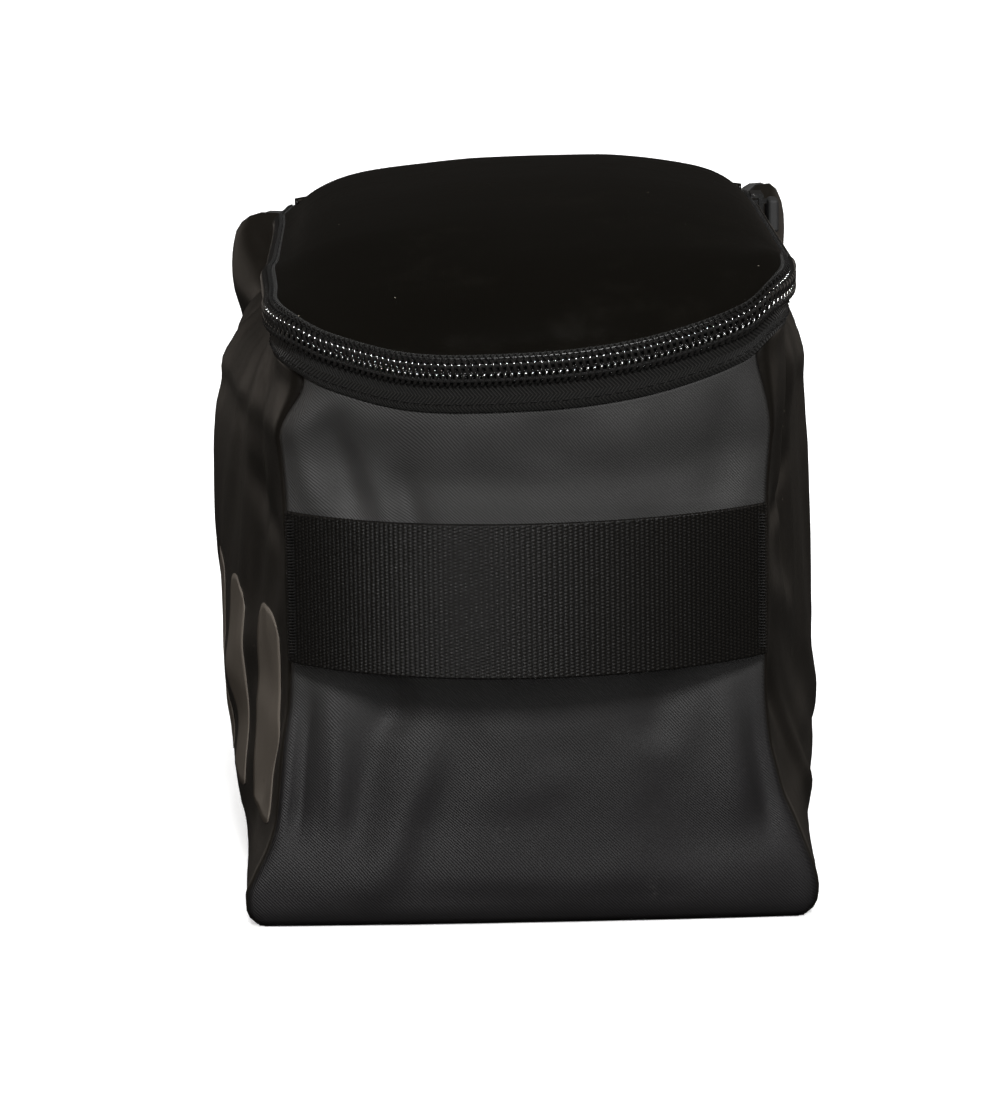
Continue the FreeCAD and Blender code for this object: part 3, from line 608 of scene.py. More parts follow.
# ---------------------------------------------------------------- materials
class Shader:
    """A material's node tree, with short calls for the nodes that the cloths are made of."""

    def __init__(self, name, colour, roughness, specular=0.5):
        self.material = bpy.data.materials.new(name)
        self.material.use_nodes = True
        self.tree = self.material.node_tree
        self.shader = self.tree.nodes["Principled BSDF"]
        self.set(Roughness=roughness)
        self.shader.inputs["Specular IOR Level"].default_value = specular
        self.shader.inputs["Base Color"].default_value = (*colour, 1.0)

    def set(self, **values):
        for key, value in values.items():
            self.shader.inputs[key.replace("_", " ")].default_value = value

    def node(self, kind, inputs=None, **settings):
        made = self.tree.nodes.new(kind)
        for key, value in settings.items():
            setattr(made, key, value)
        for key, value in (inputs or {}).items():
            self.feed(made.inputs[key], value)
        return made

    def feed(self, socket, value):
        if isinstance(value, bpy.types.NodeSocket):
            self.tree.links.new(value, socket)
        else:
            socket.default_value = value

    def math(self, operation, first, second=0.0, third=0.0):
        made = self.node("ShaderNodeMath", operation=operation)
        for k, value in enumerate((first, second, third)):
            self.feed(made.inputs[k], value)
        return made.outputs[0]

    def cloth_uv(self):
        """The cloth's own across and up distances, in millimetres."""
        uv = self.node("ShaderNodeUVMap", uv_map="cloth").outputs["UV"]
        parts = self.node("ShaderNodeSeparateXYZ", {0: uv}).outputs
        return self.math("MULTIPLY", parts[0], 1 / MM), self.math("MULTIPLY", parts[1], 1 / MM)

    def place(self):
        return self.node("ShaderNodeTexCoord").outputs["Object"]

    def noise(self, size_mm, detail=3.0, roughness=0.5):
        """Noise with features of about that size, as a value from 0 to 1."""
        inputs = {"Vector": self.place(), "Scale": 1 / (size_mm * MM)}
        inputs |= {"Detail": detail, "Roughness": roughness}
        return self.node("ShaderNodeTexNoise", inputs).outputs["Fac"]

    def between(self, value, low, high, out_low=0.0, out_high=1.0):
        inputs = {"Value": value, "From Min": low, "From Max": high}
        inputs |= {"To Min": out_low, "To Max": out_high}
        made = self.node("ShaderNodeMapRange", inputs, interpolation_type="SMOOTHSTEP")
        return made.outputs["Result"]

    def mix_colour(self, factor, first, second):
        made = self.node("ShaderNodeMix", data_type="RGBA")
        self.feed(made.inputs["Factor"], factor)
        for key, value in (("A", first), ("B", second)):
            socket = [s for s in made.inputs if s.name == key and s.type == "RGBA"][0]
            self.feed(socket, value if isinstance(value, bpy.types.NodeSocket) else (*value, 1.0))
        return [s for s in made.outputs if s.type == "RGBA"][0]

    def specks(self, spacing_mm, size, chance):
        """Sparse specks of dust: 1 on a speck and 0 elsewhere."""
        inputs = {"Vector": self.place(), "Scale": 1 / (spacing_mm * MM), "Randomness": 1.0}
        cells = self.node("ShaderNodeTexVoronoi", inputs)
        dot = self.between(cells.outputs["Distance"], size * 0.5, size, 1.0, 0.0)
        pick = self.node("ShaderNodeSeparateXYZ", {0: cells.outputs["Color"]}).outputs[0]
        kept = self.math("LESS_THAN", pick, chance)
        return self.math("MULTIPLY", dot, kept)

    def wave(self, value, pitch_mm):
        """A wave of that pitch along a distance in millimetres, from 0 to 1."""
        turn = self.math("MULTIPLY", value, 2 * math.pi / pitch_mm)
        return self.math("MULTIPLY_ADD", self.math("SINE", turn), 0.5, 0.5)

    def bump(self, height, distance_mm, strength=1.0, under=None):
        inputs = {"Height": height, "Distance": distance_mm * MM, "Strength": strength}
        if under is not None:
            inputs["Normal"] = under
        return self.node("ShaderNodeBump", inputs).outputs["Normal"]

    def finish(self, colour=None, roughness=None, normal=None):
        for key, value in (("Base Color", colour), ("Roughness", roughness), ("Normal", normal)):
            if value is not None:
                self.feed(self.shader.inputs[key], value)
        return self.material


def grey(value, warm=0.0):
    return (value * (1 + warm), value, value * (1 - warm))


def coated_twill():
    """Matt dark grey coated twill with faint diagonal ribs, scuffs and dust, and painted shade that
    darkens it towards the bottom.
    """
    m = Shader("coated_twill_cloth", grey(0.035), 0.6, 0.4)
    across, up = m.cloth_uv()
    ribs = m.wave(m.math("ADD", across, up), 0.85)
    fine = m.noise(0.35, 2.0)
    broad = m.noise(38.0, 4.0, 0.6)
    scuff = m.between(m.noise(9.0, 6.0, 0.7), 0.62, 0.8)
    dust = m.specks(11.0, 0.022, 0.16)
    colour = m.mix_colour(broad, (0.0345, 0.0340, 0.0335), (0.0435, 0.0428, 0.0418))
    height = m.node("ShaderNodeSeparateXYZ", {0: m.place()}).outputs[2]
    # painted shade: below about 85 mm up the cloth darkens, to near black by 28 mm
    foot = m.between(height, 0.028, 0.085, 0.95, 0.0)
    colour = m.mix_colour(foot, colour, (0.0048, 0.0042, 0.0047))
    colour = m.mix_colour(m.math("MULTIPLY", ribs, 0.4), colour, (0.018, 0.0175, 0.0175))
    colour = m.mix_colour(m.math("MULTIPLY", scuff, 0.22), colour, (0.085, 0.082, 0.080))
    colour = m.mix_colour(m.math("MULTIPLY", dust, 0.8), colour, (0.4, 0.38, 0.34))
    rough = m.math("MULTIPLY_ADD", broad, 0.16, 0.5)
    normal = m.bump(fine, 0.07, 0.7)
    normal = m.bump(ribs, 0.10, 0.7, normal)
    return m.finish(colour, rough, normal)


def gloss_cloth(name="gloss_cloth_black", colour=(0.0022, 0.0019, 0.0014), rough=0.3):
    """Smooth black coated cloth with a soft shine, a fine grain, rubbed patches and dust."""
    m = Shader(name, colour, rough, 0.5)
    across, up = m.cloth_uv()
    weave = m.math("MULTIPLY", m.wave(across, 0.55), m.wave(up, 0.55))
    grain = m.noise(0.5, 3.0)
    soft = m.noise(14.0, 4.0, 0.6)
    rub = m.between(m.noise(26.0, 6.0, 0.72), 0.5, 0.74)
    scratch = m.between(m.noise(5.0, 8.0, 0.8), 0.66, 0.78)
    dust = m.specks(8.0, 0.03, 0.3)
    tint = m.mix_colour(m.math("MULTIPLY", rub, 0.5), colour, tuple(2.0 * c for c in colour))
    scratch = m.math("MULTIPLY", m.math("MULTIPLY", scratch, rub), 0.3)
    tint = m.mix_colour(scratch, tint, (0.05, 0.045, 0.038))
    tint = m.mix_colour(m.math("MULTIPLY", dust, 0.7), tint, (0.3, 0.27, 0.22))
    roughness = m.math("MULTIPLY_ADD", rub, 0.12, m.math("MULTIPLY_ADD", soft, 0.08, rough - 0.05))
    normal = m.bump(soft, 0.5, 0.10)
    normal = m.bump(grain, 0.03, 0.35, normal)
    normal = m.bump(weave, 0.03, 0.25, normal)
    return m.finish(tint, roughness, normal)


def plain_weave(name, colour, pitch, rough):
    """Plain woven nylon."""
    m = Shader(name, colour, rough, 0.4)
    across, up = m.cloth_uv()
    over = m.wave(across, pitch)
    under = m.wave(up, pitch)
    weave = m.math("ABSOLUTE", m.math("SUBTRACT", over, under))
    patch = m.noise(20.0, 4.0)
    tint = m.mix_colour(patch, tuple(0.75 * c for c in colour), tuple(1.35 * c for c in colour))
    tint = m.mix_colour(m.math("MULTIPLY", weave, 0.35), tint, tuple(0.45 * c for c in colour))
    normal = m.bump(weave, 0.08, 0.7)
    m.set(Sheen_Weight=0.08)
    return m.finish(tint, m.math("MULTIPLY_ADD", patch, 0.1, rough), normal)


def ribbed_tape():
    """Binding tape with fine ribs across it."""
    m = Shader("binding_tape_black", grey(0.012), 0.62, 0.4)
    across, _ = m.cloth_uv()
    ribs = m.wave(across, 0.8)
    yarn = m.noise(0.3, 2.0)
    tint = m.mix_colour(ribs, (0.006, 0.006, 0.006), (0.018, 0.017, 0.016))
    normal = m.bump(yarn, 0.05, 0.5)
    normal = m.bump(ribs, 0.18, 0.9, normal)
    m.set(Sheen_Weight=0.1)
    return m.finish(tint, m.math("MULTIPLY_ADD", yarn, 0.2, 0.52), normal)


def herringbone_tape():
    """Woven polyester zip tape: a herringbone of slanted yarns."""
    m = Shader("zip_tape_cloth", grey(0.02), 0.6, 0.15)
    across, up = m.cloth_uv()
    row = m.math("PINGPONG", up, 2.4)
    slant = m.wave(m.math("MULTIPLY_ADD", row, 0.9, across), 0.95)
    yarn = m.noise(0.28, 2.0)
    dust = m.specks(5.0, 0.03, 0.12)
    tint = m.mix_colour(slant, (0.0035, 0.0035, 0.0033), (0.0135, 0.013, 0.012))
    tint = m.mix_colour(m.math("MULTIPLY", dust, 0.7), tint, (0.3, 0.28, 0.25))
    normal = m.bump(yarn, 0.05, 0.6)
    normal = m.bump(slant, 0.22, 1.0, normal)
    m.set(Sheen_Weight=0.05)
    return m.finish(tint, m.math("MULTIPLY_ADD", yarn, 0.18, 0.5), normal)


def nylon_coil():
    """Shiny nylon monofilament."""
    m = Shader("coil_nylon", grey(0.006), 0.16, 0.7)
    mark = m.noise(0.8, 3.0)
    tint = m.mix_colour(mark, (0.003, 0.003, 0.003), (0.009, 0.0085, 0.008))
    m.set(IOR=2.6)
    return m.finish(tint, m.between(mark, 0.3, 0.7, 0.1, 0.2), m.bump(mark, 0.03, 0.2))


def webbing_yarn():
    """Polypropylene webbing: its yarn colour on the rib crests, with painted shade in the valleys
    between the ribs and loops.
    """
    m = Shader("webbing_yarn", (0.02, 0.018, 0.015), 0.5, 0.5)
    relief = m.node("ShaderNodeAttribute", attribute_name="relief").outputs["Fac"]
    across, up = m.cloth_uv()
    strand = m.wave(m.math("MULTIPLY_ADD", up, 0.6, across), 0.22)
    yarn = m.noise(0.5, 3.0)
    patch = m.noise(30.0, 3.0)
    bright = m.mix_colour(patch, (0.0050, 0.0044, 0.0034), (0.0092, 0.0080, 0.0062))
    # painted shade: where the relief is low, between ribs and loops, the colour falls to near black
    tint = m.mix_colour(m.between(relief, 0.3, 0.95), (0.0012, 0.001, 0.0009), bright)
    tint = m.mix_colour(m.math("MULTIPLY", strand, 0.25), tint, (0.008, 0.007, 0.006))
    normal = m.bump(yarn, 0.06, 0.5)
    normal = m.bump(strand, 0.05, 0.6, normal)
    return m.finish(tint, m.math("MULTIPLY_ADD", yarn, 0.25, 0.36), normal)


def sewing_thread():
    """Twisted thread."""
    m = Shader("sewing_thread", grey(0.02), 0.5, 0.2)
    place = m.node("ShaderNodeSeparateXYZ", {0: m.place()})
    total = m.math("ADD", m.math("ADD", place.outputs[0], place.outputs[1]), place.outputs[2])
    twist = m.wave(m.math("MULTIPLY", total, 1 / MM), 0.35)
    fuzz = m.noise(0.4, 2.0)
    tint = m.mix_colour(twist, (0.003, 0.003, 0.003), (0.011, 0.0105, 0.010))
    m.set(Sheen_Weight=0.03)
    return m.finish(tint, m.math("MULTIPLY_ADD", fuzz, 0.2, 0.42), m.bump(twist, 0.06, 0.8))


def print_film():
    """Semi-matt printed film, worn at its edges."""
    m = Shader("print_film_grey", (0.085, 0.074, 0.062), 0.45, 0.5)
    wear = m.between(m.noise(3.0, 6.0, 0.7), 0.6, 0.72)
    patch = m.noise(24.0, 4.0)
    tint = m.mix_colour(patch, (0.108, 0.094, 0.079), (0.132, 0.116, 0.099))
    tint = m.mix_colour(m.math("MULTIPLY", wear, 0.5), tint, (0.02, 0.018, 0.015))
    return m.finish(tint, m.math("MULTIPLY_ADD", patch, 0.2, 0.34), m.bump(patch, 0.2, 0.1))


def moulded_plastic(name, colour, rough):
    m = Shader(name, colour, rough, 0.5)
    grain = m.noise(0.6, 3.0)
    broad = m.noise(12.0, 4.0)
    tint = m.mix_colour(broad, tuple(0.8 * c for c in colour), tuple(1.25 * c for c in colour))
    return m.finish(tint, m.math("MULTIPLY_ADD", grain, 0.15, rough - 0.07), m.bump(grain, 0.05, 0.4))


def enamelled_zinc():
    """Black enamel with rubbed, brighter metal showing through in places."""
    m = Shader("enamelled_zinc", grey(0.02), 0.28, 0.6)
    rub = m.between(m.noise(1.6, 6.0, 0.75), 0.62, 0.7)
    peel = m.noise(0.9, 2.0)
    tint = m.mix_colour(rub, (0.014, 0.014, 0.014), (0.16, 0.15, 0.14))
    m.set(Coat_Weight=0.4, Coat_Roughness=0.15)
    return m.finish(tint, m.math("MULTIPLY_ADD", rub, 0.25, 0.25), m.bump(peel, 0.05, 0.3))


TWILL = coated_twill()
GLOSS = gloss_cloth()
# painted light: the side walls use a copy of the black gloss cloth whose base colour is about three
# times the lid's, standing in for the sheen the sides catch; the copy is rougher too
SIDE_GLOSS_PAINTED_LIGHTER = gloss_cloth("gloss_cloth_sides_painted_lighter", (0.0062, 0.0052, 0.0041), 0.42)
LINING_CLOTH = plain_weave("lining_nylon", (0.014, 0.0135, 0.013), 0.5, 0.6)
BINDING_TAPE = ribbed_tape()
ZIP_TAPE = herringbone_tape()
COIL = nylon_coil()
WEBBING = webbing_yarn()
THREAD = sewing_thread()
FILM = print_film()
BOARD = moulded_plastic("stiffener_board", (0.045, 0.045, 0.047), 0.5)
ENAMEL = enamelled_zinc()
RUBBER = moulded_plastic("pull_rubber_black", (0.02, 0.02, 0.02), 0.62)

# ---------------------------------------------------------------- the body
DRAPE_FRAMES = 24
DRAPE_LIMIT = 4.5
SPARE_CLOTH = 0.028
BROAD_PASSES = 90
DRAPE_SHARE = {"front": 0.18, "rear": 0.8, "left": 0.16, "right": 0.16}


def blur(grid, passes):
    """The closed loop grid, averaged with its neighbours that many times."""
    for _ in range(passes):
        grid = (np.roll(grid, 1, 0) + 2 * grid + np.roll(grid, -1, 0)) / 4
        padded = np.concatenate([grid[:, :1], grid, grid[:, -1:]], 1)
        grid = (padded[:, :-2] + 2 * grid + padded[:, 2:]) / 4
    return grid


MOST_FREEDOM = 0.94
FREEDOM_GAIN = 1.5


def drape(grid):
    """Lets the body's cloth find its own small folds in a short cloth simulation. The foot, the
    top edge and the corner seams are held, and there is a little more cloth than the shape needs."""
    columns = np.arange(0, LOOP, 2)
    rows = np.append(np.arange(0, ROWS - 1, 2), ROWS - 1)
    start = grid[np.ix_(columns, rows)]
    study = make_mesh("drape_study", start, grid_faces(len(columns), len(rows), True))
    free = near_seams()[np.ix_(columns, rows)].ravel()
    held = study.vertex_groups.new(name="held")
    for number, share in enumerate(free):
        freedom = MOST_FREEDOM * min(1.0, FREEDOM_GAIN * share)
        held.add([number], float(1 - freedom), "REPLACE")
    cloth = study.modifiers.new("cloth", "CLOTH")
    cloth.settings.quality = 6
    cloth.settings.mass = 0.25
    cloth.settings.tension_stiffness = 30
    cloth.settings.compression_stiffness = 30
    cloth.settings.shear_stiffness = 12
    cloth.settings.bending_stiffness = 0.9
    cloth.settings.shrink_min = -SPARE_CLOTH
    cloth.settings.shrink_max = -SPARE_CLOTH
    cloth.settings.vertex_group_mass = "held"
    cloth.settings.pin_stiffness = 0.6
    cloth.settings.effector_weights.gravity = 0.4
    cloth.collision_settings.use_collision = False
    cloth.point_cache.frame_end = DRAPE_FRAMES
    for number in range(1, DRAPE_FRAMES + 1):
        bpy.context.scene.frame_set(number)
    settled = study.evaluated_get(bpy.context.evaluated_depsgraph_get()).data
    points = np.zeros(3 * len(settled.vertices))
    settled.vertices.foreach_get("co", points)
    bpy.context.scene.frame_set(1)
    mesh = study.data
    bpy.data.objects.remove(study)
    bpy.data.meshes.remove(mesh)
    coarse = points.reshape(start.shape) / MM - start
    coarse = np.concatenate([coarse, coarse[:1]])
    places = np.append(columns, LOOP)
    moved = np.empty_like(grid)
    for k in range(3):
        up = np.stack([np.interp(np.arange(ROWS), rows, line) for line in coarse[..., k]])
        around = [np.interp(np.arange(LOOP), places, line) for line in up.T]
        moved[..., k] = np.stack(around, 1)
    moved = blur(moved, 1) - blur(moved, BROAD_PASSES)
    for wall, (us, first) in PARTS.items():
        moved[first:first + len(us) - 1] *= DRAPE_SHARE[wall]
    size = np.linalg.norm(moved, axis=-1, keepdims=True)
    return grid + moved * (DRAPE_LIMIT / np.maximum(size, 1e-6)) * np.tanh(size / DRAPE_LIMIT)


WALL_SETTLE_START = 122.0
OUTER = settle(drape(sculpt(raise_ears(body_loop()))), WALL_SETTLE_START)
INWARD = -loop_normals(OUTER)
WALL_PIECES = (
    # wall, its CAD nodes' name, its cloth, its slot, and the size of its cut
    ("front", "front_panel", TWILL, "coated_twill", (0.146, 0.146)),
    ("rear", "rear_panel", TWILL, "coated_twill", (0.160, 0.158)),
    ("left", "left_side_panel", SIDE_GLOSS_PAINTED_LIGHTER, "gloss_cloth", (0.272, 0.160)),
    ("right", "right_side_panel", SIDE_GLOSS_PAINTED_LIGHTER, "gloss_cloth", (0.272, 0.160)),
)


def make_walls():
    for wall, node, cloth, slot, flat in WALL_PIECES:
        piece = sheet_from_grid(wall + "_cloth", wall_of_loop(OUTER, wall), FABRIC)
        finish_piece(piece, "shell", cloth, (node,))


def make_linings():
    """The lining walls, a little inside the outer ones, from the floor lining to the zip."""
    first_row = 3
    inner = OUTER + INWARD * (FABRIC + LINING_GAP)
    for wall, node, _, _, flat in WALL_PIECES:
        grid = wall_of_loop(inner, wall)[:, first_row:]
        piece = sheet_from_grid("lining_" + wall + "_cloth", grid, LINING)
        finish_piece(piece, "shell", LINING_CLOTH, ("lining_" + wall,))


def plan_sheet(name, inset, z, thick, rings=14):
    """A flat sheet inside the walls' foot, made of rings that shrink to its middle."""
    foot = OUTER[:, 0, :2] + INWARD[:, 0, :2] * inset
    middle = foot.mean(0)
    shares = np.linspace(0, 1, rings)[:, None, None]
    plan = foot[None] * (1 - shares) + middle * shares
    plan[-1] = foot * 0.02 + middle * 0.98
    sag = 0.3 * np.sin(np.linspace(0, math.pi, rings))[:, None] * np.ones(LOOP)
    grid = np.concatenate([plan, (z + sag)[..., None]], -1)
    faces = grid_faces(rings, LOOP, closed_rows=True)
    faces.append([(rings - 1) * LOOP + k for k in range(LOOP)][::-1])
    return thicken(make_mesh(name, grid, faces, grid[..., :2]), thick, 0.0)


def make_base():
    base = plan_sheet("base_cloth", 0.2, 0.6, 1.0)
    finish_piece(base, "shell", TWILL, ("base_panel",))
    floor = plan_sheet("lining_floor_cloth", 3.0, 3.9, 0.5)
    finish_piece(floor, "shell", LINING_CLOTH, ("lining_floor",))
    paint_node("base_board", BOARD)


LOWER_TAPE_SECTION = (
    ((-0.9, -0.35), (-0.1, -0.35), (0.0, -2.0), (0.05, -4.5), (0.45, -6.5))
    + ((0.5, -8.2), (0.05, -9.6), (-0.5, -10.0), (-1.1, -9.4), (-0.9, -5.0))
)
UPPER_TAPE_SECTION = (
    ((-0.9, 0.35), (-0.1, 0.35), (0.0, 1.2), (0.0, 2.6))
    + ((-0.1, 3.6), (-0.7, 4.2), (-1.3, 4.0), (-1.1, 2.0))
)


def make_zip():
    """Tapes, and coils with their sewn-in cords."""
    s = np.linspace(-ZIP_END, ZIP_END, 500)
    tape = strip_along_rim("zip_tape_lower_cloth", s, LOWER_TAPE_SECTION[::-1])
    finish_piece(tape, "shell", ZIP_TAPE, ("zip_tape_lower",))
    tape = strip_along_rim("zip_tape_upper_cloth", s, UPPER_TAPE_SECTION)
    finish_piece(tape, "lid", ZIP_TAPE, ("zip_tape_upper",))
    for name, body, sign, phase in (("lower", "shell", -1.0, 0.0), ("upper", "lid", 1.0, 0.5)):
        coil = zip_coil("zip_coil_" + name + "_thread", sign, phase)
        finish_piece(coil, body, COIL, ("zip_coil_" + name,))
        cord = coil_cord("zip_coil_" + name + "_sewing", sign)
        finish_piece(cord, body, THREAD)


COIL_PITCH = 1.65
COIL_REAR_GAP = 30.0
COIL_RADIUS = 0.52
COIL_HALF_HEIGHT = 1.42
COIL_HALF_DEPTH = 0.86
COIL_LIFT = 1.3
COIL_OUT = 1.15
COIL_END = ZIP_END - COIL_REAR_GAP
CORD_DIP = 0.16
CORD_OUT = 1.95
CORD_LIFT = 1.75
CORD_RADIUS = 0.42


def zip_coil(name, sign, phase):
    """One side's coil: a flattened helix whose heads pass the zip's centre line."""
    turns = int(2 * COIL_END / COIL_PITCH) - 1
    per_turn = 16
    t = np.arange(turns * per_turn + 1) / per_turn
    turn = 2 * math.pi * t
    s = -COIL_END + COIL_PITCH * (t + 0.10 * np.sin(turn) + phase)
    up = np.cos(turn)
    out = np.sin(turn)
    height = COIL_LIFT + COIL_HALF_HEIGHT * np.sign(up) * np.abs(up) ** 0.8
    offset = COIL_OUT + COIL_HALF_DEPTH * np.sign(out) * np.abs(out) ** 0.7
    return tubes(name, [settle(rim_points(s, offset, sign * height))], COIL_RADIUS, 7)


def coil_cord(name, sign):
    """The chain of stitches that holds a coil to its tape, dipping between the coil's turns."""
    s = np.arange(-COIL_END, COIL_END, COIL_PITCH / 6)
    dip = CORD_DIP * np.cos(2 * math.pi * s / COIL_PITCH)
    path = rim_points(s, CORD_OUT + dip, sign * CORD_LIFT)
    return tubes(name, [settle(path)], CORD_RADIUS, 8)


LID_CREST_X = 20.0
LID_FALL_LEFT = smooth_curve(
    ((0, 0), (30, 0.9), (50, 3.1), (62, 4.8), (70, 6.4), (79, 9.5), (88, 16))
)
LID_FALL_RIGHT = smooth_curve(
    ((0, 0), (14, 1.5), (22, 2.8), (34, 5.0), (40, 6.6), (45, 8.4), (48, 10.6), (52, 14))
)
LID_FALL_ALONG = smooth_curve(
    ((-18, 36), (-9, 27), (3, 20), (25, 12), (65, 4.4), (110, 0.6), (150, 0), (190, 1.8), (222, 5.5))
    + ((245, 10), (262, 14.5))
)


LID_BLEND = 1.4
SPINE_END_GAP = 52


def dome_height(x, y):
    """Height of the lid's surface over the plan, before it turns down to its edge."""
    beside = x - LID_CREST_X
    across = np.where(beside < 0, LID_FALL_LEFT(-beside), LID_FALL_RIGHT(beside))
    along = LID_FALL_ALONG(y - BASE_FRONT_Y)
    return LID_CREST_Z - (across**LID_BLEND + along**LID_BLEND) ** (1 / LID_BLEND)


LID_EDGE_ROUND = 5.0
LID_SEAM_LIFT = 3.5
LID_LEAST_RISE = 2.0
LID_SOFTNESS = 1.5


def lid_grid(inset=0.0, drop=0.0, rings=40, columns=400):
    """The lid's surface: rings from its seam on the upper tape to its middle line."""
    s = np.linspace(-REAR_MIDDLE, REAR_MIDDLE, columns, endpoint=False)
    x, y = rim(s, -inset)
    spine_y = np.clip(y, ZIP_FRONT_Y + SPINE_END_GAP, RIM_REAR_Y - SPINE_END_GAP)
    r = (np.linspace(0, 1, rings) ** 1.5)[:, None]
    px = x * (1 - r)
    py = y + (spine_y - y) * r
    distance = np.hypot(px - x, py - y)
    seam_z = zip_z(s) + LID_SEAM_LIFT
    rise = 1 - np.exp(-distance / LID_EDGE_ROUND)
    above = dome_height(px, py) - seam_z - LID_LEAST_RISE
    above = LID_LEAST_RISE + LID_SOFTNESS * np.logaddexp(0, above / LID_SOFTNESS)
    z = seam_z + above * rise - drop * (0.3 + 0.7 * rise)
    return np.stack([px, py, z], -1)


def lid_sheet(name, grid, thick):
    rings, columns = grid.shape[:2]
    faces = [face[::-1] for face in grid_faces(rings, columns, closed_rows=True)]
    piece = make_mesh(name, settle(grid), faces, grid[..., :2])
    weld = piece.modifiers.new("close_middle", "WELD")
    weld.merge_threshold = 0.02 * MM
    return thicken(piece, thick)


# (offset from the rim, height over the zip's centre line) round each cross-section
BINDING_SECTION = (
    ((-4.9, -0.4), (-5.6, 0.0), (-5.8, 1.4), (-5.6, 2.8))
    + ((-4.9, 3.2), (-4.3, 2.8), (-4.1, 1.4), (-4.3, 0.0))
)
FLAP_SECTION = (
    ((-3.6, 3.4), (-4.1, 3.4), (-4.3, -3.0), (-4.2, -12.6))
    + ((-3.9, -13.0), (-3.6, -12.6), (-3.7, -3.0))
)


def make_lid():
    lid = lid_sheet("lid_cloth", lid_grid(-0.1), FABRIC)
    finish_piece(lid, "lid", GLOSS, ("lid_panel",))
    inner = lid_sheet("lid_lining_cloth", lid_grid(2.6, 1.8, 30, 240), LINING)
    finish_piece(inner, "lid", LINING_CLOTH, ("lid_lining",))
    end = SIDE_START + box_mm("zip_guard_flap")[1][1] - CORNER_CENTRE_Y
    s = np.linspace(-end, end, 260)
    flap = strip_along_rim("zip_guard_cloth", s, FLAP_SECTION)
    finish_piece(flap, "lid", LINING_CLOTH, ("zip_guard_flap",))
    s = np.linspace(-end - 10, end + 10, 260)
    tape = strip_along_rim("lid_binding_tape", s, BINDING_SECTION)
    finish_piece(tape, "lid", BINDING_TAPE, ("lid_seam_binding",))


OVERCAST_PITCH = 1.5
OVERCAST_OUT = 0.15
OVERCAST_HALF_DEPTH = 0.5
OVERCAST_HALF_HEIGHT = 0.62
OVERCAST_RADIUS = 0.21


def make_overcast():
    """The thread that winds over the lid's cut edge and gathers it on the zip tape."""
    turns = int(2 * ZIP_END / OVERCAST_PITCH)
    t = np.arange(turns * 10 + 1) / 10
    turn = 2 * math.pi * t
    s = -ZIP_END + OVERCAST_PITCH * t
    height = LID_SEAM_LIFT + 0.1 + OVERCAST_HALF_HEIGHT * np.cos(turn)
    path = rim_points(s, OVERCAST_OUT + OVERCAST_HALF_DEPTH * np.sin(turn), height)
    piece = tubes("lid_overcast_thread", [settle(path)], OVERCAST_RADIUS, 5)
    finish_piece(piece, "lid", THREAD)


def make_hinge():
    """The strip of cloth round the rear end, where the lid is hinged."""
    low, high = box_mm("hinge_strip")
    end = SIDE_START + low[1] - CORNER_CENTRE_Y
    around = np.linspace(end, REAR_MIDDLE, 90)
    around = np.concatenate([around, np.linspace(-REAR_MIDDLE, -end, 90)[1:]])
    rows = np.linspace(low[2] - ZIP_SIDE_Z, high[2] - ZIP_SIDE_Z, 13)
    grid = np.stack([rim_points(around, -0.1, lift) for lift in rows], 1)
    piece = sheet_from_grid("hinge_strip_cloth", settle(grid), 0.9)
    piece.data.materials.append(GLOSS)
    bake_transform(piece)
    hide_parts("hinge_strip")


# ---------------------------------------------------------------- handle
RIB_PITCH = 1.28
LOOP_PITCH = 0.83
HANDLE_ARC_RADIUS = 76.9
WEBBING_THICK = 1.2
EDGE_ROUND = 0.35
RIB_RISE = 0.34
RIB_SINK = 0.2
YARN_SLANT = 3.4
FRONT_ROWS = 160
BACK_ROWS = 40
BARTACK_INSET = 2.0
BARTACK_PITCH = 0.75
BARTACK_SLANT = 0.45
BARTACK_RADIUS = 0.17


def handle_arc(angle, reach, z):
    """A point on the handle's arc, reach outside or inside its outer face."""
    centre_y = HANDLE_LOW[1] + HANDLE_ARC_RADIUS
    radius = HANDLE_ARC_RADIUS + reach
    return np.stack([radius * np.sin(angle), centre_y - radius * np.cos(angle), z], -1)


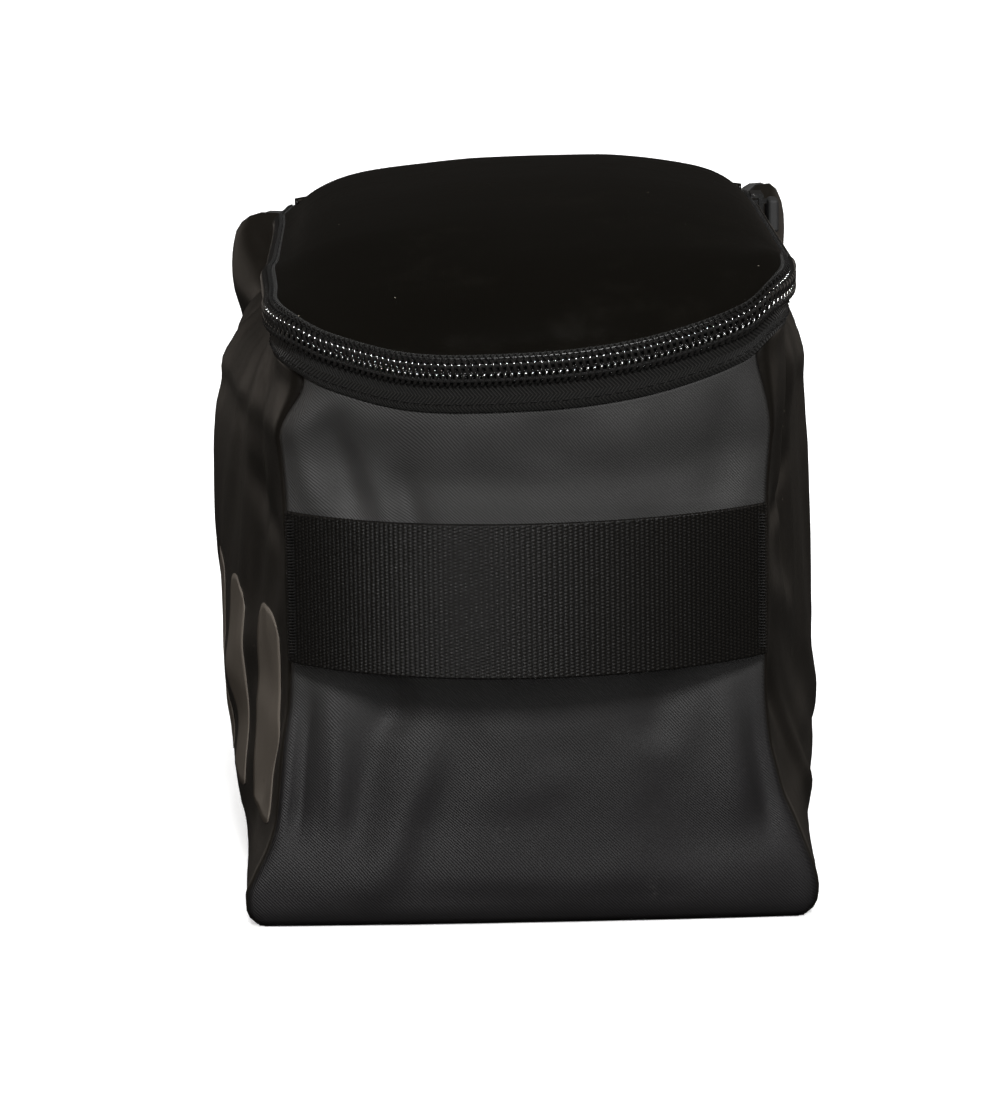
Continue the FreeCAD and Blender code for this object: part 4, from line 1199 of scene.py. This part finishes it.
def make_handle():
    """Ribbed webbing: every rib is a column of slanted yarn loops."""
    half_angle = math.asin(HANDLE_HIGH[0] / HANDLE_ARC_RADIUS)
    length = 2 * half_angle * HANDLE_ARC_RADIUS
    ribs = int(length / RIB_PITCH)
    low, high = HANDLE_LOW[2], HANDLE_HIGH[2]
    front = np.linspace(low + EDGE_ROUND, high - EDGE_ROUND, FRONT_ROWS)
    back = np.linspace(high - EDGE_ROUND, low + EDGE_ROUND, BACK_ROWS)
    zs = np.concatenate([front, [high], back, [low]])
    middle, rear = [-WEBBING_THICK / 2], np.full(BACK_ROWS, -WEBBING_THICK)
    reach = np.concatenate([np.zeros(FRONT_ROWS), middle, rear, middle])
    angle = np.linspace(-half_angle, half_angle, ribs * 4 + 1)
    a, z = np.meshgrid(angle, zs, indexing="ij")
    step = a * HANDLE_ARC_RADIUS / RIB_PITCH
    rib = np.abs(np.sin(math.pi * step)) ** 0.8
    inside = np.abs(step % 1.0 - 0.5)
    turn = 2 * math.pi * z / LOOP_PITCH + math.pi * np.floor(step) + YARN_SLANT * inside
    loops = 0.5 + 0.5 * np.cos(turn)
    relief = rib * (0.25 + 0.75 * loops)
    side = np.where(reach < -1.0, -1.0, 1.0)
    side *= np.where(np.abs(reach + WEBBING_THICK / 2) < 0.01, 0.25, 1.0)
    points = handle_arc(a, reach[None, :] + side[None, :] * (RIB_RISE * relief - RIB_SINK), z)
    points[..., 2] += handle_sag(a)
    piece = closed_band("handle_webbing_cloth", points, cloth_places(angle * HANDLE_ARC_RADIUS, zs))
    # the relief is also read by the webbing's material, which paints shade into the low places
    shade = piece.data.attributes.new("relief", "FLOAT", "POINT")
    shade.data.foreach_set("value", relief.ravel().astype(np.float32))
    finish_piece(piece, "shell", WEBBING, ("handle_webbing",))


def handle_sag(angle):
    """The webbing's edges hang a little unevenly."""
    return 0.35 * np.sin(2.3 * angle + 0.6) - 0.2


def make_bartacks():
    """Dense rows of stitches across both ends of the webbing."""
    half_angle = math.asin(HANDLE_HIGH[0] / HANDLE_ARC_RADIUS)
    low, high = HANDLE_LOW[2] + BARTACK_INSET, HANDLE_HIGH[2] - BARTACK_INSET
    ends = np.array([1.2, 1.5, 2.4, 3.3, 3.6])
    lift = np.array([-0.1, 0.22, 0.3, 0.22, -0.1])
    slant = np.linspace(0, BARTACK_SLANT, len(ends))
    paths = []
    for side in (-1.0, 1.0):
        angle = side * (half_angle - ends / HANDLE_ARC_RADIUS)
        for k in range(int((high - low) / BARTACK_PITCH)):
            paths.append(handle_arc(angle, lift, low + BARTACK_PITCH * k + slant))
    piece = tubes("handle_bartack_threads", paths, BARTACK_RADIUS, 5)
    finish_piece(piece, "shell", THREAD, ("handle_bartacks",))


# ---------------------------------------------------------------- stitches
STITCH_PITCH = 2.6
STITCH_GAP = 0.9
TAPE_STITCH_OUT = 0.5
TAPE_STITCH_DROP = 7.6
TAPE_STITCH_END_GAP = 4
STITCH_RISE = 0.28
STITCH_RADIUS = 0.16


def stitch_row(name, line, normals, body):
    """A row of lock stitches along a line of points; each one rises from the cloth and dips
    back."""
    steps = np.linalg.norm(np.diff(line, axis=0), axis=1)
    place = np.concatenate([[0], np.cumsum(steps)])
    paths = []
    start = 1.0
    shape = np.array([0.0, 0.08, 0.3, 0.5, 0.7, 0.92, 1.0])
    lift = np.array([-0.25, 0.6, 0.95, 1.0, 0.95, 0.6, -0.25]) * STITCH_RISE
    while start + STITCH_PITCH < place[-1]:
        at = start + shape * (STITCH_PITCH - STITCH_GAP)
        points = np.stack([np.interp(at, place, line[:, k]) for k in range(3)], -1)
        normal = np.stack([np.interp(at, place, normals[:, k]) for k in range(3)], -1)
        paths.append(points + normal * lift[:, None])
        start += STITCH_PITCH
    finish_piece(tubes(name, paths, STITCH_RADIUS, 5), body, THREAD)


def rim_normals(s):
    ahead_x, ahead_y = rim(s + 0.01)
    x, y = rim(s)
    ahead = np.stack([ahead_x - x, ahead_y - y], -1)
    ahead /= np.linalg.norm(ahead, axis=1, keepdims=True)
    return np.stack([ahead[:, 1], -ahead[:, 0], 0 * s], -1)


def make_stitches():
    """The row of stitches that holds the lower tape to the walls."""
    end = ZIP_END - TAPE_STITCH_END_GAP
    s = np.linspace(-end, end, 900)
    line = settle(rim_points(s, TAPE_STITCH_OUT, -TAPE_STITCH_DROP))
    stitch_row("zip_tape_lower_stitches", line, rim_normals(s), "shell")


# ---------------------------------------------------------------- small parts
def make_small_parts():
    """The cast stop at the zip's left end, and the CAD nodes that stay in view."""
    s = np.linspace(-COIL_END - 3.0, -COIL_END - 0.6, 5)
    section = (
        ((0.3, -0.6), (0.3, -3.0), (0.8, -3.4), (1.8, -3.4))
        + ((2.3, -3.0), (2.3, -0.6), (1.8, -0.2), (0.8, -0.2))
    )
    stop = strip_along_rim("zip_stop_left_cast", s, section)
    finish_piece(stop, "shell", ENAMEL, ("zip_bottom_stop",))
    for name in ("zip_top_stop_lower", "zip_top_stop_upper"):
        paint_node(name, ENAMEL)
    for name in ("slider_body", "slider_bridge", "pull_tab"):
        paint_node(name, ENAMEL)
    paint_node("pull_grip", RUBBER)


def loop_point(wall, u, z):
    """A point on the finished outer surface and its outward normal."""
    us, first = PARTS[wall]
    columns = np.arange(len(us))
    if us[0] > us[-1]:
        us, columns = us[::-1], columns[::-1]
    column = np.interp(u, us, columns)
    c0 = int(column)
    t = column - c0
    i0, i1 = (first + c0) % LOOP, (first + min(c0 + 1, len(us) - 1)) % LOOP
    line = OUTER[i0] * (1 - t) + OUTER[i1] * t
    normal = -(INWARD[i0] * (1 - t) + INWARD[i1] * t)
    point = np.array([np.interp(z, line[:, 2], line[:, k]) for k in range(3)])
    outward = np.array([np.interp(z, line[:, 2], normal[:, k]) for k in range(3)])
    return point, outward / np.linalg.norm(outward)


PRINT_FIRST_U = 0.045
PRINT_PITCH = 0.17
PRINT_WIDTH = 0.115
PRINT_LOW_Z = 22.0
PRINT_HIGH_Z = 76.0
PRINT_ROUND = 6.0
PRINT_GAP = 0.22
PRINT_THICK = 0.14


def make_print():
    """Plain upright bars with round tops, printed on the left side."""
    for number in range(4):
        grid = np.zeros((13, 33, 3))
        for i, a in enumerate(np.linspace(0, 1, 13)):
            down = PRINT_ROUND * (1 - math.sqrt(max(0.0, 1 - (2 * a - 1) ** 2)))
            u = PRINT_FIRST_U + PRINT_PITCH * number + PRINT_WIDTH * a
            low = PRINT_LOW_Z + 0.35 * down
            for j, b in enumerate(np.linspace(0, 1, 33)):
                z = low + (PRINT_HIGH_Z - PRINT_LOW_Z - 1.35 * down) * b
                point, outward = loop_point("left", u, z)
                grid[i, j] = point + outward * PRINT_GAP
        piece = sheet_from_grid(f"side_print_bar_{number + 1}", grid[::-1], PRINT_THICK)
        replaced = ("side_print",) if number == 0 else ()
        finish_piece(piece, "shell", FILM, replaced)


SEAM_TAPE_SECTION = ((-1.4, -0.7), (1.4, -0.7), (1.8, 0), (1.4, 0.7), (-1.4, 0.7), (-1.8, 0))
SEAM_TAPE_INSET = 3.0
SEAM_TAPE_ROWS = slice(5, -5)
BASE_TAPE_SECTION = ((-0.7, -1.2), (0.7, -1.2), (0.9, 0), (0.7, 1.2), (-0.7, 1.2), (-0.9, 0))
BASE_TAPE_INSET = 4.6
BASE_TAPE_Z = 5.6
BASE_TAPE_ROW = 3


def make_bindings():
    """Binding tapes inside the corner seams and round the base seam."""
    for wall, u, name in (
        ("front", -1.0, "seam_binding_front_left"),
        ("front", 1.0, "seam_binding_front_right"),
        ("rear", -1.0, "seam_binding_rear_left"),
        ("rear", 1.0, "seam_binding_rear_right"),
    ):
        us, first = PARTS[wall]
        column = (first + (0 if u == us[0] else len(us) - 1)) % LOOP
        inward = INWARD[column, SEAM_TAPE_ROWS].copy()
        line = OUTER[column, SEAM_TAPE_ROWS] + inward * (FABRIC + LINING + SEAM_TAPE_INSET)
        inward[:, 2] = 0
        inward /= np.linalg.norm(inward, axis=1, keepdims=True)
        side = np.cross(inward, [0, 0, 1.0])
        grid = np.stack([line + inward * a + side * b for a, b in SEAM_TAPE_SECTION], 1)
        piece = closed_band(name + "_tape", grid, cloth_places(line[:, 2], np.arange(6.0)))
        finish_piece(piece, "shell", BINDING_TAPE, (name,))
    inward = INWARD[:, BASE_TAPE_ROW].copy()
    foot = OUTER[:, BASE_TAPE_ROW] + inward * BASE_TAPE_INSET
    foot[:, 2] = BASE_TAPE_Z
    inward[:, 2] = 0
    grid = np.stack([foot + inward * a + np.array([0, 0, b]) for a, b in BASE_TAPE_SECTION], 1)
    around = np.concatenate([[0], np.cumsum(np.linalg.norm(np.diff(foot, axis=0), axis=1))])
    uv = cloth_places(around, np.arange(6.0))
    piece = make_mesh("base_seam_binding_tape", grid, grid_faces(LOOP, 6, True, True), uv)
    finish_piece(piece, "shell", BINDING_TAPE, ("base_seam_binding",))


def make_end_tabs():
    """Folded tabs over the zip tapes' ends."""
    for side, name in ((-1.0, "zip_end_tab_left"), (1.0, "zip_end_tab_right")):
        s = side * np.linspace(ZIP_END - 1.8, ZIP_END + 1.2, 9)
        s.sort()
        section = ((0.1, -9.8), (0.9, -9.8), (1.3, -9.0), (1.3, -1.4), (0.9, -0.6), (0.1, -0.6))
        piece = strip_along_rim(name + "_cloth", s, section)
        finish_piece(piece, "shell", BINDING_TAPE, (name,))


# ---------------------------------------------------------------- camera, lights and floor
CAMERA_X = -0.36
CAMERA_AWAY = 1022.7
CAMERA_Z = 271.6
CAMERA_PITCH = 9.906
CAMERA_YAW = 0.343
CAMERA_ROLL = -0.841
CAMERA_LENS = 151.3


def make_camera():
    camera = bpy.data.cameras.new("camera")
    camera.sensor_fit = "HORIZONTAL"
    camera.sensor_width = 36.0
    camera.lens = CAMERA_LENS
    camera.clip_start = 0.05
    camera.clip_end = 50.0
    holder = bpy.data.objects.new("camera", camera)
    bpy.context.scene.collection.objects.link(holder)
    turn = (
        Matrix.Rotation(math.radians(CAMERA_YAW), 4, "Z")
        @ Matrix.Rotation(math.radians(90 - CAMERA_PITCH), 4, "X")
        @ Matrix.Rotation(math.radians(CAMERA_ROLL), 4, "Z")
    )
    place = Vector((CAMERA_X, BASE_FRONT_Y - CAMERA_AWAY, CAMERA_Z)) * MM
    holder.matrix_world = Matrix.Translation(place) @ turn
    bpy.context.scene.camera = holder


def area_light(name, place, target, size, power, shine=False, colour=(1, 1, 1)):
    """A soft box. Only one with shine is seen in reflections."""
    light = bpy.data.lights.new(name, "AREA")
    light.shape = "RECTANGLE"
    light.size, light.size_y = size
    light.energy = power
    light.color = colour
    holder = bpy.data.objects.new(name, light)
    bpy.context.scene.collection.objects.link(holder)
    holder.location = place
    aim = Vector(target) - Vector(place)
    holder.rotation_euler = aim.to_track_quat("-Z", "Y").to_euler()
    holder.visible_glossy = shine


# the stage, in metres
FLOOR_FRONT = -2.5
FLOOR_HALF = 3.5
FLOOR_DROP = 0.0002
BACKDROP_Y = 1.2
BACKDROP_ROUND = 0.9
BACKDROP_TOP = 3.2


def make_stage():
    """A pale floor that curves up into a backdrop."""
    profile = [(FLOOR_FRONT, 0.0), (BACKDROP_Y, 0.0)]
    for a in np.linspace(0.15, math.pi / 2, 12):
        back, up = math.sin(a), 1 - math.cos(a)
        profile.append((BACKDROP_Y + BACKDROP_ROUND * back, BACKDROP_ROUND * up))
    profile.append((BACKDROP_Y + BACKDROP_ROUND, BACKDROP_TOP))
    points = [(x, y, z - FLOOR_DROP) for y, z in profile for x in (-FLOOR_HALF, FLOOR_HALF)]
    faces = [(2 * k, 2 * k + 1, 2 * k + 3, 2 * k + 2) for k in range(len(profile) - 1)]
    mesh = bpy.data.meshes.new("floor")
    mesh.from_pydata(points, [], faces)
    mesh.polygons.foreach_set("use_smooth", np.ones(len(mesh.polygons), bool))
    floor = bpy.data.objects.new("floor", mesh)
    bpy.context.scene.collection.objects.link(floor)
    m = Shader("floor_paper", (0.86, 0.86, 0.86), 0.9, 0.1)
    m.set(Emission_Color=(1, 1, 1, 1), Emission_Strength=0.45)
    m.finish(m.mix_colour(m.noise(400.0), (0.85, 0.85, 0.85), (0.87, 0.87, 0.87)))
    mesh.materials.append(m.material)
    floor.visible_glossy = False
    floor.visible_diffuse = False


def make_lights():
    world = bpy.data.worlds.new("studio")
    world.use_nodes = True
    world.node_tree.nodes["Background"].inputs["Color"].default_value = (1.0, 0.93, 0.86, 1)
    world.node_tree.nodes["Background"].inputs["Strength"].default_value = 0.022
    bpy.context.scene.world = world
    warm = (1.0, 0.88, 0.77)
    area_light("key", (0.2, -1.85, 1.05), (0, -0.1, 0.1), (0.3, 0.3), 25, shine=True)
    area_light("front_fill", (0.3, -2.0, 0.75), (0, 0, 0.08), (1.8, 0.8), 20)
    area_light("above_front", (0, -0.8, 1.7), (0, -0.1, 0.1), (1.0, 1.0), 25)
    area_light("low_front", (0.0, -2.0, 0.1), (0, 0, 0.08), (1.6, 0.3), 8)
    area_light("above", (0, 0.2, 1.9), (0, 0, 0.1), (1.6, 1.6), 2)
    area_light("left_sheen", (-1.3, 1.1, 0.45), (-0.08, 0, 0.08), (1.0, 1.0), 1.3, True, warm)
    area_light("right_sheen", (1.3, 1.1, 0.45), (0.08, 0, 0.08), (1.0, 1.0), 1.3, True, warm)
    area_light("left_fill", (-1.6, -0.6, 0.6), (-0.08, 0, 0.08), (0.8, 0.8), 3.6, False, warm)
    area_light("rear_fill", (0.5, 1.15, 0.8), (0, 0.1, 0.08), (0.8, 0.8), 7)
    area_light("right_fill", (1.6, -0.2, 0.7), (0.08, 0, 0.08), (0.8, 0.8), 2)
    area_light("backdrop_light", (0, 0.7, 2.2), (0, 2.1, 0.4), (2.5, 0.5), 40)


bpy.context.scene.view_settings.view_transform = "Standard"
make_camera()
make_stage()
make_lights()
make_walls()
make_linings()
make_base()
make_zip()
make_lid()
make_overcast()
make_hinge()
make_handle()
make_bartacks()
make_stitches()
make_print()
make_bindings()
make_end_tabs()
make_small_parts()
